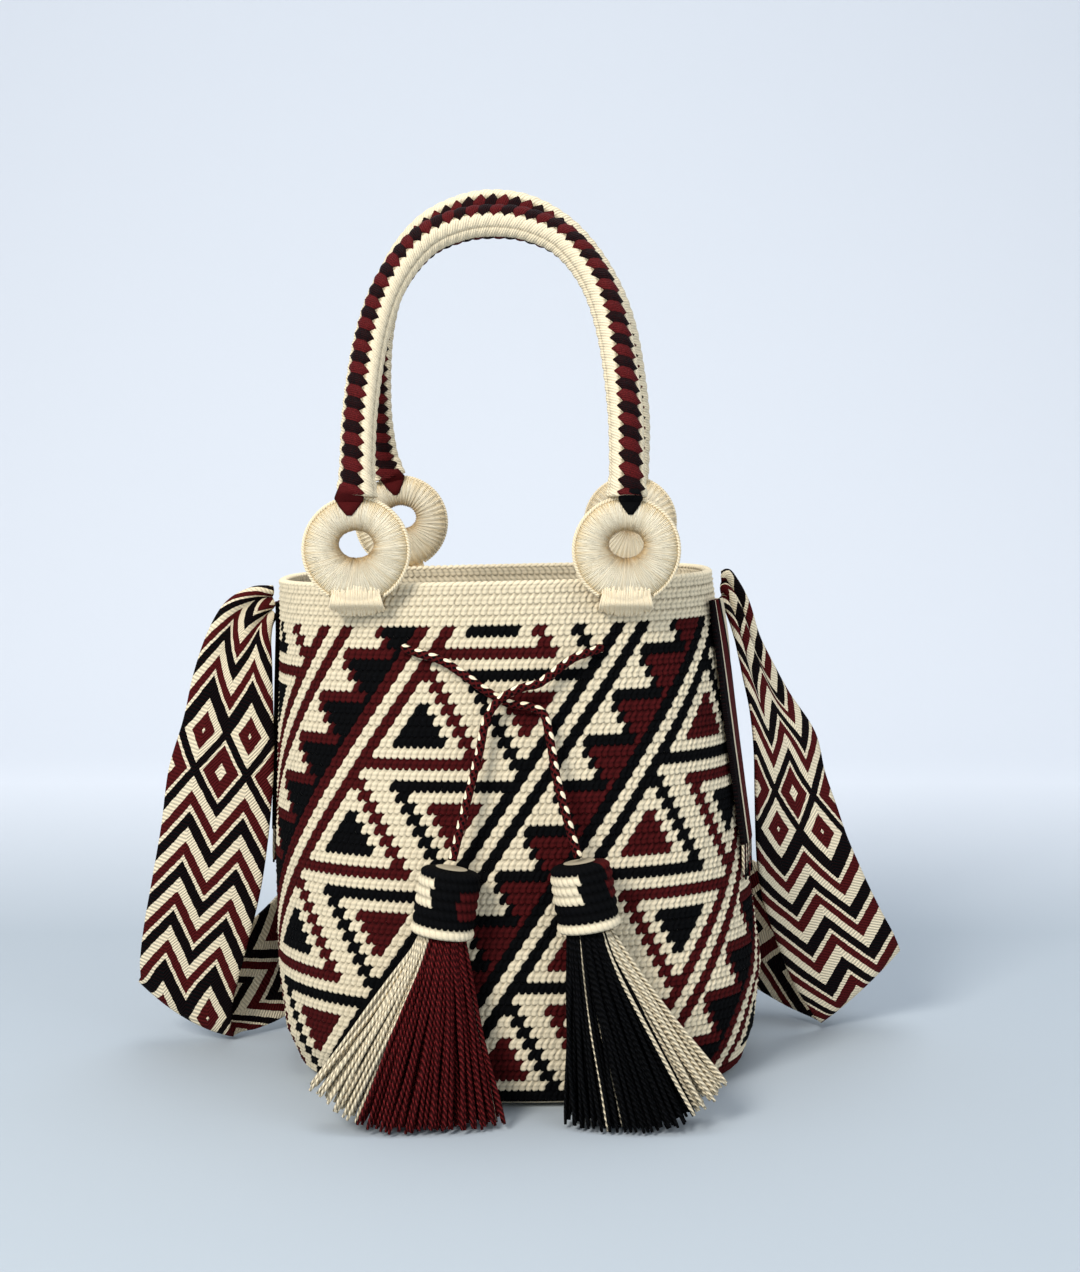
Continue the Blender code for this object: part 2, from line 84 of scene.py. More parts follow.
def make_stage():
    """A pale floor that curves up into a backdrop."""
    profile = [(-6.0, 0.0), (1.2, 0.0)]
    for a in np.linspace(0.1, math.pi / 2, 12):
        profile.append((1.2 + 1.2 * math.sin(a), 1.2 - 1.2 * math.cos(a)))
    profile += [(2.4, 5.0)]
    verts = [(x, y, z) for y, z in profile for x in (-5.0, 5.0)]
    faces = [(2 * i, 2 * i + 1, 2 * i + 3, 2 * i + 2) for i in range(len(profile) - 1)]
    mesh = bpy.data.meshes.new("floor")
    mesh.from_pydata(verts, [], faces)
    mesh.shade_smooth()
    floor = bpy.data.objects.new("floor", mesh)
    bpy.context.scene.collection.objects.link(floor)
    paper = Nodes("floor_paper")
    # painted shade: the floor is darker under and in front of the bag, paling between y 0.3 and 1.0 towards
    # the backdrop
    far = paper.remap(paper.split(paper.place())[1], 0.3, 1.0, 0.0, 1.0)
    mesh.materials.append(paper.finish(paper.mix(far, (0.43, 0.48, 0.525), (0.78, 0.81, 0.855)), 0.9))


def make_lights():
    world = bpy.data.worlds.new("studio")
    bpy.context.scene.world = world
    world.use_nodes = True
    back = world.node_tree.nodes["Background"]
    back.inputs["Color"].default_value = (0.84, 0.91, 1.0, 1.0)
    back.inputs["Strength"].default_value = 0.68
    area_light("key", (-1.1, -1.9, 1.7), (0.0, 0.0, 0.22), 0.8, 57.0, (1.0, 0.96, 0.9))
    area_light("fill", (1.7, -1.5, 0.9), (0.0, 0.0, 0.2), 1.4, 10.0, (0.95, 0.97, 1.0))
    area_light("top", (0.1, 0.3, 2.2), (0.0, 0.0, 0.2), 1.4, 16.0)


bpy.context.scene.view_settings.view_transform = "Standard"
make_camera()
make_lights()


# --- Materials ---
CREAM = (0.74, 0.57, 0.34)
CREAM_LIGHT = (0.88, 0.76, 0.54)
BURGUNDY = (0.052, 0.0045, 0.0048)
BLACK = (0.0011, 0.0012, 0.0015)


class Value:
    """A number in a shader: the usual signs add Math nodes."""

    def __init__(self, nodes, socket):
        self.nodes = nodes
        self.socket = socket

    def __add__(self, other):
        return self.nodes.math("ADD", self, other)

    def __sub__(self, other):
        return self.nodes.math("SUBTRACT", self, other)

    def __rsub__(self, other):
        return self.nodes.math("SUBTRACT", other, self)

    def __mul__(self, other):
        return self.nodes.math("MULTIPLY", self, other)

    def __truediv__(self, other):
        return self.nodes.math("DIVIDE", self, other)

    def __pow__(self, other):
        return self.nodes.math("POWER", self, other)

    def __lt__(self, other):
        return self.nodes.math("LESS_THAN", self, other)

    def __gt__(self, other):
        return self.nodes.math("GREATER_THAN", self, other)

    def __abs__(self):
        return self.nodes.math("ABSOLUTE", self)

    def fract(self):
        return self.nodes.math("FRACT", self)

    def wave(self):
        """Sine, with one wave for each whole number."""
        return self.nodes.math("SINE", self * TAU)


class Nodes:
    """Small helpers that add shader nodes to one material."""

    def __init__(self, name):
        self.material = bpy.data.materials.new(name)
        self.material.use_nodes = True
        self.tree = self.material.node_tree
        self.shader = self.tree.nodes["Principled BSDF"]

    def new(self, kind, **values):
        node = self.tree.nodes.new(kind)
        for key, value in values.items():
            setattr(node, key, value)
        return node

    def feed(self, socket, value):
        if isinstance(value, (int, float)):
            socket.default_value = value
        elif isinstance(value, tuple):
            socket.default_value = (*value, 1.0)
        else:
            self.tree.links.new(value.socket if isinstance(value, Value) else value, socket)

    def math(self, how, a, b=0.0):
        node = self.new("ShaderNodeMath", operation=how)
        self.feed(node.inputs[0], a)
        self.feed(node.inputs[1], b)
        return Value(self, node.outputs[0])

    def mix(self, share, a, b):
        node = self.new("ShaderNodeMix", data_type="RGBA")
        for index, value in ((0, share), (6, a), (7, b)):
            self.feed(node.inputs[index], value)
        return node.outputs[2]

    def mix_value(self, share, a, b):
        node = self.new("ShaderNodeMix", data_type="FLOAT")
        for index, value in ((0, share), (2, a), (3, b)):
            self.feed(node.inputs[index], value)
        return Value(self, node.outputs[0])

    def attribute(self, name):
        return Value(self, self.new("ShaderNodeAttribute", attribute_name=name).outputs["Fac"])

    def place(self):
        return self.new("ShaderNodeTexCoord").outputs["Object"]

    def split(self, vector):
        node = self.new("ShaderNodeSeparateXYZ")
        self.feed(node.inputs[0], vector)
        return [Value(self, socket) for socket in node.outputs]

    def uv(self):
        return self.split(self.new("ShaderNodeUVMap", uv_map="UVMap").outputs[0])[:2]

    def pair(self, a, b):
        node = self.new("ShaderNodeCombineXYZ")
        self.feed(node.inputs[0], a)
        self.feed(node.inputs[1], b)
        return node.outputs[0]

    def noise(self, scale, detail=3.0, vector=None):
        node = self.new("ShaderNodeTexNoise")
        node.inputs["Scale"].default_value = scale
        node.inputs["Detail"].default_value = detail
        node.inputs["Roughness"].default_value = 0.6
        self.feed(node.inputs["Vector"], vector if vector is not None else self.place())
        return Value(self, node.outputs["Fac"])

    def remap(self, value, low, high, out_low, out_high):
        node = self.new("ShaderNodeMapRange")
        self.feed(node.inputs["Value"], value)
        for key, number in zip(("From Min", "From Max", "To Min", "To Max"), (low, high, out_low, out_high)):
            node.inputs[key].default_value = number
        return Value(self, node.outputs["Result"])

    def bump(self, height, strength, distance):
        node = self.new("ShaderNodeBump")
        node.inputs["Strength"].default_value = strength
        node.inputs["Distance"].default_value = distance
        self.feed(node.inputs["Height"], height)
        self.feed(self.shader.inputs["Normal"], node.outputs["Normal"])

    def finish(self, colour, roughness=0.85, specular=0.06):
        self.feed(self.shader.inputs["Base Color"], colour)
        self.feed(self.shader.inputs["Roughness"], roughness)
        self.shader.inputs["Specular IOR Level"].default_value = specular
        return self.material


def shade(colour, factor):
    return tuple(c * factor for c in colour)


def yarn_material(name, colour, deep=0.35, fleck=1.25):
    """Cotton yarn: painted shade darkens the hollows that the mesh's depth marks, with fibre in colour and
    bump.
    """
    n = Nodes(name)
    depth = n.attribute("depth")
    fibre = n.noise(2600.0, 2.0)
    patch = n.noise(60.0, 2.0)
    tone = n.mix(n.remap(fibre, 0.3, 0.7, 0.0, 1.0), shade(colour, 0.82), shade(colour, fleck))
    tone = n.mix(n.remap(patch, 0.35, 0.65, 0.0, 0.25), tone, shade(colour, 0.8))
    # painted shade: where depth is low the colour mixes towards the colour times deep
    tone = n.mix(n.remap(depth, 0.0, 0.75, 1.0, 0.0), tone, shade(colour, deep))
    n.bump(n.noise(1500.0, 3.0), 0.35, 0.0006)
    return n.finish(tone)


make_stage()
YARN = [
    # third number: how dark the painted hollow shade is; fourth: how bright the fibre flecks are
    yarn_material("yarn_cream", CREAM_LIGHT, 0.36, 1.06),
    yarn_material("yarn_burgundy", BURGUNDY, 0.22, 1.7),
    yarn_material("yarn_black", BLACK, 0.3, 2.6),
]
CREAM_I, BURGUNDY_I, BLACK_I = 0, 1, 2


# --- Mesh helpers ---
def make_mesh(name, verts, quads, materials, slots=None, depth=None, uv=None):
    """A smooth object from arrays: points, quads, a slot for each face, and depth and UV for each point."""
    verts = np.asarray(verts, dtype=np.float32).reshape(-1, 3)
    quads = np.asarray(quads, dtype=np.int32).reshape(-1, 4)
    mesh = bpy.data.meshes.new(name)
    mesh.vertices.add(len(verts))
    mesh.vertices.foreach_set("co", verts.ravel())
    mesh.loops.add(quads.size)
    mesh.loops.foreach_set("vertex_index", quads.ravel())
    mesh.polygons.add(len(quads))
    mesh.polygons.foreach_set("loop_start", np.arange(0, quads.size, 4, dtype=np.int32))
    for mat in materials:
        mesh.materials.append(mat)
    if slots is not None:
        mesh.polygons.foreach_set("material_index", np.asarray(slots, dtype=np.int32).ravel())
    if depth is not None:
        layer = mesh.attributes.new("depth", "FLOAT", "POINT")
        layer.data.foreach_set("value", np.asarray(depth, dtype=np.float32).ravel())
    if uv is not None:
        layer = mesh.uv_layers.new(name="UVMap")
        layer.data.foreach_set("uv", np.asarray(uv, dtype=np.float32)[quads.ravel()].ravel())
    mesh.update(calc_edges=True)
    mesh.validate()
    mesh.shade_smooth()
    made = bpy.data.objects.new(name, mesh)
    bpy.context.scene.collection.objects.link(made)
    return made


def attach(piece, body, node=None):
    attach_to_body(piece, body)
    if node:
        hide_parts(node)


def grid_quads(rows, cols, wrap=False, start=0):
    """Faces of a grid of points, rows by cols, closed across its columns if asked."""
    r = np.arange(rows - 1)[:, None]
    c = np.arange(cols if wrap else cols - 1)[None, :]
    d = (c + 1) % cols
    a = start + r * cols + c
    b = start + r * cols + d
    return np.stack([a, b, b + cols, a + cols], axis=-1).reshape(-1, 4)


def smooth(points, per_span):
    """Points on a Catmull-Rom curve through the given ones."""
    pts = np.asarray(points, dtype=float)
    pts = np.vstack([2 * pts[0] - pts[1], pts, 2 * pts[-1] - pts[-2]])
    out = []
    for i in range(1, len(pts) - 2):
        p0, p1, p2, p3 = pts[i - 1:i + 3]
        for k in range(per_span):
            t = k / per_span
            out.append(0.5 * (2 * p1 + (p2 - p0) * t + (2 * p0 - 5 * p1 + 4 * p2 - p3) * t * t
                              + (3 * p1 - p0 - 3 * p2 + p3) * t ** 3))
    out.append(pts[-2])
    return np.array(out)


def resample(points, step):
    """The same line with its points evenly spaced, and the distance along it of each."""
    pts = np.asarray(points, dtype=float)
    gaps = np.linalg.norm(np.diff(pts, axis=0), axis=1)
    along = np.concatenate([[0.0], np.cumsum(gaps)])
    count = max(2, int(round(along[-1] / step)) + 1)
    at = np.linspace(0.0, along[-1], count)
    return np.stack([np.interp(at, along, pts[:, k]) for k in range(3)], axis=1), at


def tube_grid(points, radius, around, phase=0.0):
    """Points of a tube, first column towards the front: radius is a number or an array (points, around)."""
    tangent = np.gradient(points, axis=0)
    tangent /= np.linalg.norm(tangent, axis=1)[:, None]
    side = np.array([0.0, -1.0, 0.0])
    sides = []
    for t in tangent:
        side = side - t * np.dot(side, t)
        side /= np.linalg.norm(side)
        sides.append(side)
    one = np.array(sides)
    two = np.cross(tangent, one)
    angle = np.reshape(phase, (-1, 1)) + TAU * np.arange(around) / around
    radius = np.broadcast_to(radius, (len(points), around))
    ring = one[:, None, :] * np.cos(angle)[:, :, None] + two[:, None, :] * np.sin(angle)[:, :, None]
    return points[:, None, :] + ring * radius[:, :, None]


def cap_quads(first, around):
    """Flat faces that close a ring of an even number of points."""
    half = around // 2
    out = []
    for i in range(half - 1):
        out.append([first + i, first + i + 1, first + around - 2 - i, first + around - 1 - i])
    return np.array(out, dtype=np.int32)


def strands_mesh(name, lines, radius, materials, around=6):
    """Many thin closed tubes as one object, in the first of its materials."""
    verts, quads, count = [], [], 0
    for line in lines:
        verts.append(tube_grid(line, radius, around).reshape(-1, 3))
        quads += [grid_quads(len(line), around, wrap=True, start=count), cap_quads(count, around)[:, ::-1],
                  cap_quads(count + (len(line) - 1) * around, around)]
        count += len(line) * around
    return make_mesh(name, np.vstack(verts), np.vstack(quads), materials, depth=np.ones(count))


def seamed_tube(line, radius, around, v, start=0, phase=0.0):
    """Points, faces and UVs of a closed tube: its last column repeats the first, so that U runs all round."""
    verts = tube_grid(line, radius, around, phase=phase)
    verts = np.concatenate([verts, verts[:, :1]], axis=1)
    uv = np.stack(np.broadcast_arrays(np.linspace(0.0, 1.0, around + 1), v[:, None]), axis=-1)
    quads = [grid_quads(len(line), around + 1, start=start), cap_quads(start, around)[:, ::-1],
             cap_quads(start + (len(line) - 1) * (around + 1), around)]
    return verts.reshape(-1, 3), np.vstack(quads), uv.reshape(-1, 2)


# --- The bag's form, as in the CAD: superellipses by height ---
WALL = 0.0035
RIM_Z = 0.299
RIM_TILT = 0.022
SECTIONS = np.array([
    (0.0, 0.01, 0.127, 0.101, 2.3),
    (0.004, 0.01, 0.136, 0.11, 2.3),
    (0.026, 0.009, 0.144, 0.115, 2.4),
    (0.064, 0.009, 0.148, 0.113, 2.4),
    (0.127, 0.004, 0.144, 0.106, 2.4),
    (0.2, 0.0, 0.138, 0.097, 2.5),
    (0.262, -0.003, 0.133, 0.091, 2.6),
    (RIM_Z, -0.0055, 0.1305, 0.088, 2.6),
])


def section(z):
    """Middle, half width, half depth and power at a height or an array of heights."""
    return [np.interp(z, SECTIONS[:, 0], SECTIONS[:, k]) for k in range(1, 5)]


def wall_at(angle, z, inset=0.0):
    """Points of the wall, its edge tilted with the rim."""
    mid, half_w, half_d, power = section(z)
    half_w = half_w - inset
    half_d = half_d - inset
    c, s = np.cos(angle), np.sin(angle)
    r = (np.abs(c) ** power + np.abs(s) ** power) ** (-1.0 / power)
    x = mid + half_w * r * c
    y = half_d * r * s
    tilt = RIM_TILT * (x + 0.003) * (z / RIM_Z) ** 2
    return np.stack([x, y, np.broadcast_to(z, x.shape) + tilt], axis=-1)


STITCHES = 184
FRONT_PITCH = 0.00375       # a stitch's width at the middle of the front
PATTERN_X = -0.0281         # where the big motif starts in the first row
LEAN = 0.12                 # how far a row's stitches lean to the left of the row above, in stitches


def angle_table(z, inset=0.0):
    """Angle round the bag by distance along the wall from the front, with the front at zero."""
    angle = np.linspace(-math.pi / 2 - math.pi, -math.pi / 2 + math.pi, 1441)
    line = wall_at(angle, np.full_like(angle, z), inset)
    along = np.concatenate([[0.0], np.cumsum(np.linalg.norm(np.diff(line, axis=0), axis=1))])
    return along - along[720], angle


def stitch_angle(p, z, inset=0.0):
    """Angle round the bag of stitch position p: close stitches at the front, a little wider ones behind."""
    along, angle = angle_table(z, inset)
    whole = along[-1] - along[0]
    mid = section(z)[0]
    start = (PATTERN_X - mid) / FRONT_PITCH
    share = (p + start) / STITCHES
    turn = np.floor(share + 0.5)
    share = share - turn
    spare = 1.0 - STITCHES * FRONT_PITCH / whole
    where = whole * (share - spare * np.sin(TAU * share) / TAU)
    return np.interp(where, along, angle) + TAU * turn


# --- Tapestry pattern ---
HALF_PERIOD = 46


def lane_colour(s, r, first, second):
    """Colour at position s, 0 to 45, of row r: first and second are this half period's dark colours."""
    out = np.full(s.shape, CREAM_I)
    # triple stripe, 2-2-2
    out = np.where(s < 6, np.where((s < 2) | (s >= 4), first, CREAM_I), out)
    # small motif, 10 wide and 4 rows high
    q = s - 6
    k = (r - 2) % 4
    cream_to = np.choose(k, [1, 2, 4, 6])
    first_to = np.choose(k, [9, 3, 5, 7])
    small = np.where(q < cream_to, CREAM_I, np.where(q < first_to, first, second))
    out = np.where((q >= 0) & (q < 10), small, out)
    # second triple stripe
    w = s - 16
    out = np.where((w >= 0) & (w < 6), np.where((w < 2) | (w >= 4), first, CREAM_I), out)
    # big motif, 24 wide and 10 rows high
    b = s - 22
    out = np.where((b >= 0) & (b < 24), big_motif(b, r % 10, first, second), out)
    return out


def big_motif(b, k, first, second):
    """Two interlocked triangles: one standing, outlined in first and filled with second, one hanging."""
    c = np.full(b.shape, CREAM_I)
    row = (k - 5) % 10          # rows from the top of the standing triangle
    # diagonal outline of the standing triangle: two stitches that step right by two a row
    edge = 2 + 2 * row
    c = np.where((row <= 6) & (b >= edge) & (b < edge + 2), first, c)
    # its filling, from row 2 to row 5
    wide = np.choose(np.clip(row, 0, 9), [0, 0, 2, 4, 6, 8, 0, 0, 0, 0])
    c = np.where((b >= 2) & (b < 2 + wide), second, c)
    # base bar of the standing triangle
    c = np.where((row == 7) & (b < 18), first, c)
    # diagonal outline of the hanging triangle
    edge = 8 + 2 * row
    c = np.where((row <= 7) & (b >= edge) & (b < edge + 2), second, c)
    # its filling
    start = np.choose(np.clip(row, 0, 9), [99, 14, 16, 18, 20, 99, 99, 99, 99, 99])
    c = np.where((b >= start) & (b < 22), first, c)
    # bar at the top of the hanging triangle, and the foot that joins it to the standing one
    c = np.where((row == 9) & (b >= 6), second, c)
    c = np.where((row == 9) & (b < 2), first, c)
    return c


def tapestry(j, r):
    """Material slot of stitch j in row r, from the top."""
    s = (j + r + 22) % (2 * HALF_PERIOD)
    low = lane_colour(s, np.full(s.shape, r), BURGUNDY_I, BLACK_I)
    high = lane_colour(s - HALF_PERIOD, np.full(s.shape, r), BLACK_I, BURGUNDY_I)
    return np.where(s < HALF_PERIOD, low, high)


# --- Crocheted wall ---
BAND_ROWS = 4
ROW = 0.00628
PATTERN_TOP = 0.2745
PATTERN_ROWS = 43
ACROSS = 5                  # faces across a stitch
LINES = np.array([0.0, 0.25, 0.5, 0.75, 1.0])
RIDGE = np.array([0.05, 0.85, 0.45, 1.0, 0.05])     # height of the relief down a stitch, 0 to 1
SLANT = np.array([0.6, 0.2, 0.0, 0.0, 0.0])         # shift to the right, in stitches
RELIEF = 0.0016
SPIKE_WIDE = 0.13           # of the points between stitches, in stitches
SPIKE_TALL = 0.26           # the same, in rows


def row_height(r):
    return PATTERN_TOP - ROW * r


def crochet_rows(name, first, last, colour_of, row_z, inside=False):
    """Rows of stitches from first up to last, each its own strip with lobes, spikes and small holes."""
    cols = STITCHES * ACROSS
    inset, way = (WALL, -1.0) if inside else (0.0, 1.0)
    verts, depth, quads, slots = [], [], [], []
    base = 0
    i = np.arange(cols + 1)
    local = i / ACROSS
    frac = (i % ACROSS) / ACROSS
    near = np.minimum(frac, 1.0 - frac)                 # distance from a stitch's edge
    for r in range(first, last):
        z_top, z_low = row_z(r), row_z(r + 1)
        for f, ridge, shift in zip(LINES, RIDGE, SLANT):
            z = z_top + (z_low - z_top) * f
            p = local + shift - LEAN * (r + f)
            at = stitch_angle(p, z, inset)
            # distance from the boundary between two stitches of this line
            if f == 0.0:
                gap = np.minimum((frac + shift) % 1.0, 1.0 - (frac + shift) % 1.0)
            else:
                gap = near
            spike = np.exp(-(gap / SPIKE_WIDE) ** 2) if f in (0.0, 1.0) else 0.0
            heights = np.full(cols + 1, z) + SPIKE_TALL * (z_top - z_low) * spike
            if 0.0 < f < 1.0:
                bulge = 0.3 + 0.7 * np.sqrt(np.clip(1.0 - (1.0 - 2.0 * near) ** 2 * 0.96, 0.0, 1.0))
                high = ridge * bulge
                if f == 0.5:
                    high = high * np.where(near < 0.1, 0.2, 1.0)
            else:
                high = 0.1 + 0.25 * spike
            line = wall_at(at, heights, inset)
            out = np.stack([line[:, 0] - section(z)[0], line[:, 1], np.zeros(cols + 1)], axis=1)
            out *= way / np.linalg.norm(out, axis=1)[:, None]
            wobble = 0.0002 * np.sin(i * 1.7 + r * 2.9)
            verts.append(line + out * ((high - 0.45) * RELIEF + wobble)[:, None])
            # the relief also sets the yarn material's painted hollow shade
            depth.append(high)
        faces = grid_quads(len(LINES), cols + 1, start=base)
        quads.append(faces if inside else faces[:, ::-1])
        base += len(LINES) * (cols + 1)
        slots.append(np.tile(np.repeat(colour_of(np.arange(STITCHES), r), ACROSS), len(LINES) - 1))
    return make_mesh(name, np.concatenate(verts), np.concatenate(quads), YARN, np.concatenate(slots),
                     depth=np.concatenate(depth))


def plain(j, r):
    """Cream for every stitch, as the band has it."""
    return np.full(j.shape, CREAM_I)


def band_height(r):
    """Height of the band's row r, which counts up from -1 to the rim."""
    return PATTERN_TOP - r * (RIM_Z - 0.0006 - PATTERN_TOP) / BAND_ROWS


def rim_edge():
    """Slanted stitches over the top edge, from the outside to the inside."""
    cols = STITCHES * 6
    i = np.arange(cols + 1)
    near = np.minimum((i % 6) / 6.0, 1.0 - (i % 6) / 6.0)
    bulge = np.sqrt(np.clip(1.0 - (1.0 - 2.0 * near) ** 2 * 0.97, 0.0, 1.0))
    verts, depth = [], []
    turns = np.linspace(-0.2 * math.pi, 1.2 * math.pi, 13)
    for a in turns:
        at = stitch_angle(i / 6.0 + 0.8 * a / math.pi, RIM_Z, 0.5 * WALL)
        inset = 0.5 * WALL - (0.5 * WALL + 0.0002 + 0.0007 * bulge) * math.cos(a)
        ring = wall_at(at, np.full(cols + 1, RIM_Z), inset)
        ring[:, 2] += (0.0007 + 0.0011 * bulge) * math.sin(a) - 0.0006
        verts.append(ring)
        depth.append(0.15 + 0.85 * bulge)
    quads = grid_quads(len(turns), cols + 1)[:, ::-1]
    return make_mesh("rim_edge", np.concatenate(verts), quads, YARN, np.full(len(quads), CREAM_I),
                     depth=np.concatenate(depth))


def crochet_body():
    half = PATTERN_ROWS // 2
    for piece in (crochet_rows("wall_upper", 0, half, tapestry, row_height),
                  crochet_rows("wall_lower", half, PATTERN_ROWS, tapestry, row_height),
                  crochet_rows("rim_band", -BAND_ROWS, 0, plain, band_height),
                  crochet_rows("rim_band_inside", -BAND_ROWS, 0, plain, band_height, inside=True),
                  rim_edge(), rim_and_lining(), base_rounds()):
        attach(piece, BAG, "bag_body")


def rim_and_lining():
    """The wall's inner face and the bottom inside."""
    at = np.linspace(0.0, TAU, STITCHES, endpoint=False) - math.pi / 2
    top, foot, levels = RIM_Z - 0.0006, 0.006, 92
    stitches = np.arange(STITCHES)
    verts, depth, slots = [], [], []
    for n in range(1, levels):
        z = top - (top - foot) * n / (levels - 1)
        up = math.cos(math.pi * n)
        # the band's inner stitches cover the topmost levels
        ripple = -0.0012 if z > PATTERN_TOP + 0.001 else 0.0005 * up
        verts.append(wall_at(at, np.full(STITCHES, z), WALL + ripple))
        # every other level is marked for the yarn material's painted shade
        depth.append(np.full(STITCHES, 0.55 + 0.45 * up))
        row = int((RIM_Z - z) / ROW) - BAND_ROWS
        slots.append(tapestry(stitches, row) if row >= 0 else plain(stitches, row))
    for share in (0.97, 0.9, 0.75, 0.5, 0.25, 0.04):
        ring = wall_at(at, np.full(STITCHES, foot), WALL)
        ring[:, :2] *= share
        ring[:, 2] = 0.0045
        verts.append(ring)
        depth.append(np.full(STITCHES, 0.7))
        slots.append(plain(stitches, 0))
    quads = grid_quads(len(verts), STITCHES, wrap=True)
    return make_mesh("rim_and_lining", np.concatenate(verts), quads[:, ::-1], YARN,
                     np.concatenate(slots[1:]), depth=np.concatenate(depth))


def base_rounds():
    """The underside: plain rounds of crochet from the wall's last row to the middle."""
    cols = STITCHES * 2
    at = np.linspace(0.0, TAU, cols, endpoint=False) - math.pi / 2
    rings = [(row_height(PATTERN_ROWS), 1.0, 0.1), (0.0026, 0.997, 0.9), (0.0012, 0.985, 0.4),
             (0.0004, 0.965, 0.1)]
    levels = 30
    for n in range(levels):
        z, high = (0.0002, 1.0) if n % 2 == 0 else (0.0009, 0.15)
        rings.append((z, 0.955 * (1.0 - (n + 1) / (levels + 0.5)), high))
    # every other column, and the rounds marked low, take the yarn material's painted shade
    edge = np.where(np.arange(cols) % 2 == 0, 0.75, 1.0)
    mid = section(0.0)[0]
    verts, depth = [], []
    for z, share, high in rings:
        ring = wall_at(at, np.full(cols, min(z, 0.004)))
        ring[:, 0] = mid + (ring[:, 0] - mid) * share
        ring[:, 1] *= share
        ring[:, 2] = z
        verts.append(ring)
        depth.append(high * edge)
    tones = np.full(len(rings) - 1, CREAM_I)
    tones[9:11] = BLACK_I
    tones[17:19] = BURGUNDY_I
    quads = grid_quads(len(rings), cols, wrap=True)
    return make_mesh("base_rounds", np.concatenate(verts), quads[:, ::-1], YARN, np.repeat(tones, cols),
                     depth=np.concatenate(depth))


crochet_body()


# --- Wrapped rings ---
RING_OUTER = 0.0295
HOLE_RISE = 0.0034
HOLE_HALF_W = 0.0095
HOLE_HALF_H = 0.0074
BAND_FLAT = 0.0065
THREADS = 190.0             # turns of thread round a ring
RINGS = {
    "ring_front_left": FRONT, "ring_front_right": FRONT,
    "ring_back_left": BACK, "ring_back_right": BACK,
}
# the thread's own gold, then a painted shade of it and a pale painted highlight
GOLD = (0.84, 0.67, 0.4)
GOLD_SHADE = (0.76, 0.52, 0.24)
SATIN_HIGHLIGHT = (1.0, 0.91, 0.7)


def satin_material():
    """Silky gold thread wound round the ring, glossy: a painted highlight makes the face pale, painted shade
    deepens the gold towards the hole, and the rim keeps the thread's gold.
    """
    n = Nodes("satin_wrap")
    u, v = n.uv()
    angle = v * TAU
    # painted highlight share, greatest on the ring's face; painted shade share towards the hole
    face = abs(v.wave()) ** 1.5
    near_hole = n.remap(n.math("COSINE", angle), -1.0, 0.3, 1.0, 0.0)
    thread = (u + (n.noise(130.0, 2.0) - 0.5) * 2.2).wave()
    # painted highlight: bundles of threads catch the light unevenly, in streaks of unequal length
    streak = n.noise(1.0, 3.0, n.pair(u * 0.8, v * 3.0))
    light = face * 0.95 + n.remap(streak, 0.35, 0.65, -0.3, 0.3)
    edge = n.mix(near_hole, GOLD, GOLD_SHADE)
    tone = n.mix(n.remap(light, 0.2, 1.0, 0.0, 1.0), edge, SATIN_HIGHLIGHT)
    # painted shade in the grooves between threads
    tone = n.mix(n.remap(thread, -1.0, 0.0, 0.22, 0.0), tone, GOLD_SHADE)
    n.bump(thread + streak * 5.0, 0.75, 0.0005)
    return n.finish(tone, 0.32, 0.5)


SATIN = satin_material()
LASHING = yarn_material("lashing_thread", (0.96, 0.81, 0.57), 0.4, 1.1)


def centre_of(node):
    low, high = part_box(node)
    return np.array([(a + b) / 2 for a, b in zip(low, high)])


def hole_reach(angle):
    """Distance from a ring's middle to the edge of its oval hole, at an angle from straight up."""
    c, s = np.cos(angle), np.sin(angle)
    a = (s / HOLE_HALF_W) ** 2 + (c / HOLE_HALF_H) ** 2
    b = c * HOLE_RISE / HOLE_HALF_H ** 2
    return (b + np.sqrt(b * b - a * ((HOLE_RISE / HOLE_HALF_H) ** 2 - 1.0))) / a


def face_height(angle, r):
    """How far a ring's face stands out from its middle plane at a distance from its middle."""
    inner = hole_reach(angle)
    share = (r - (RING_OUTER + inner) / 2) / ((RING_OUTER - inner) / 2)
    return BAND_FLAT * np.sqrt(np.clip(1.0 - share ** 2, 0.0, 1.0))


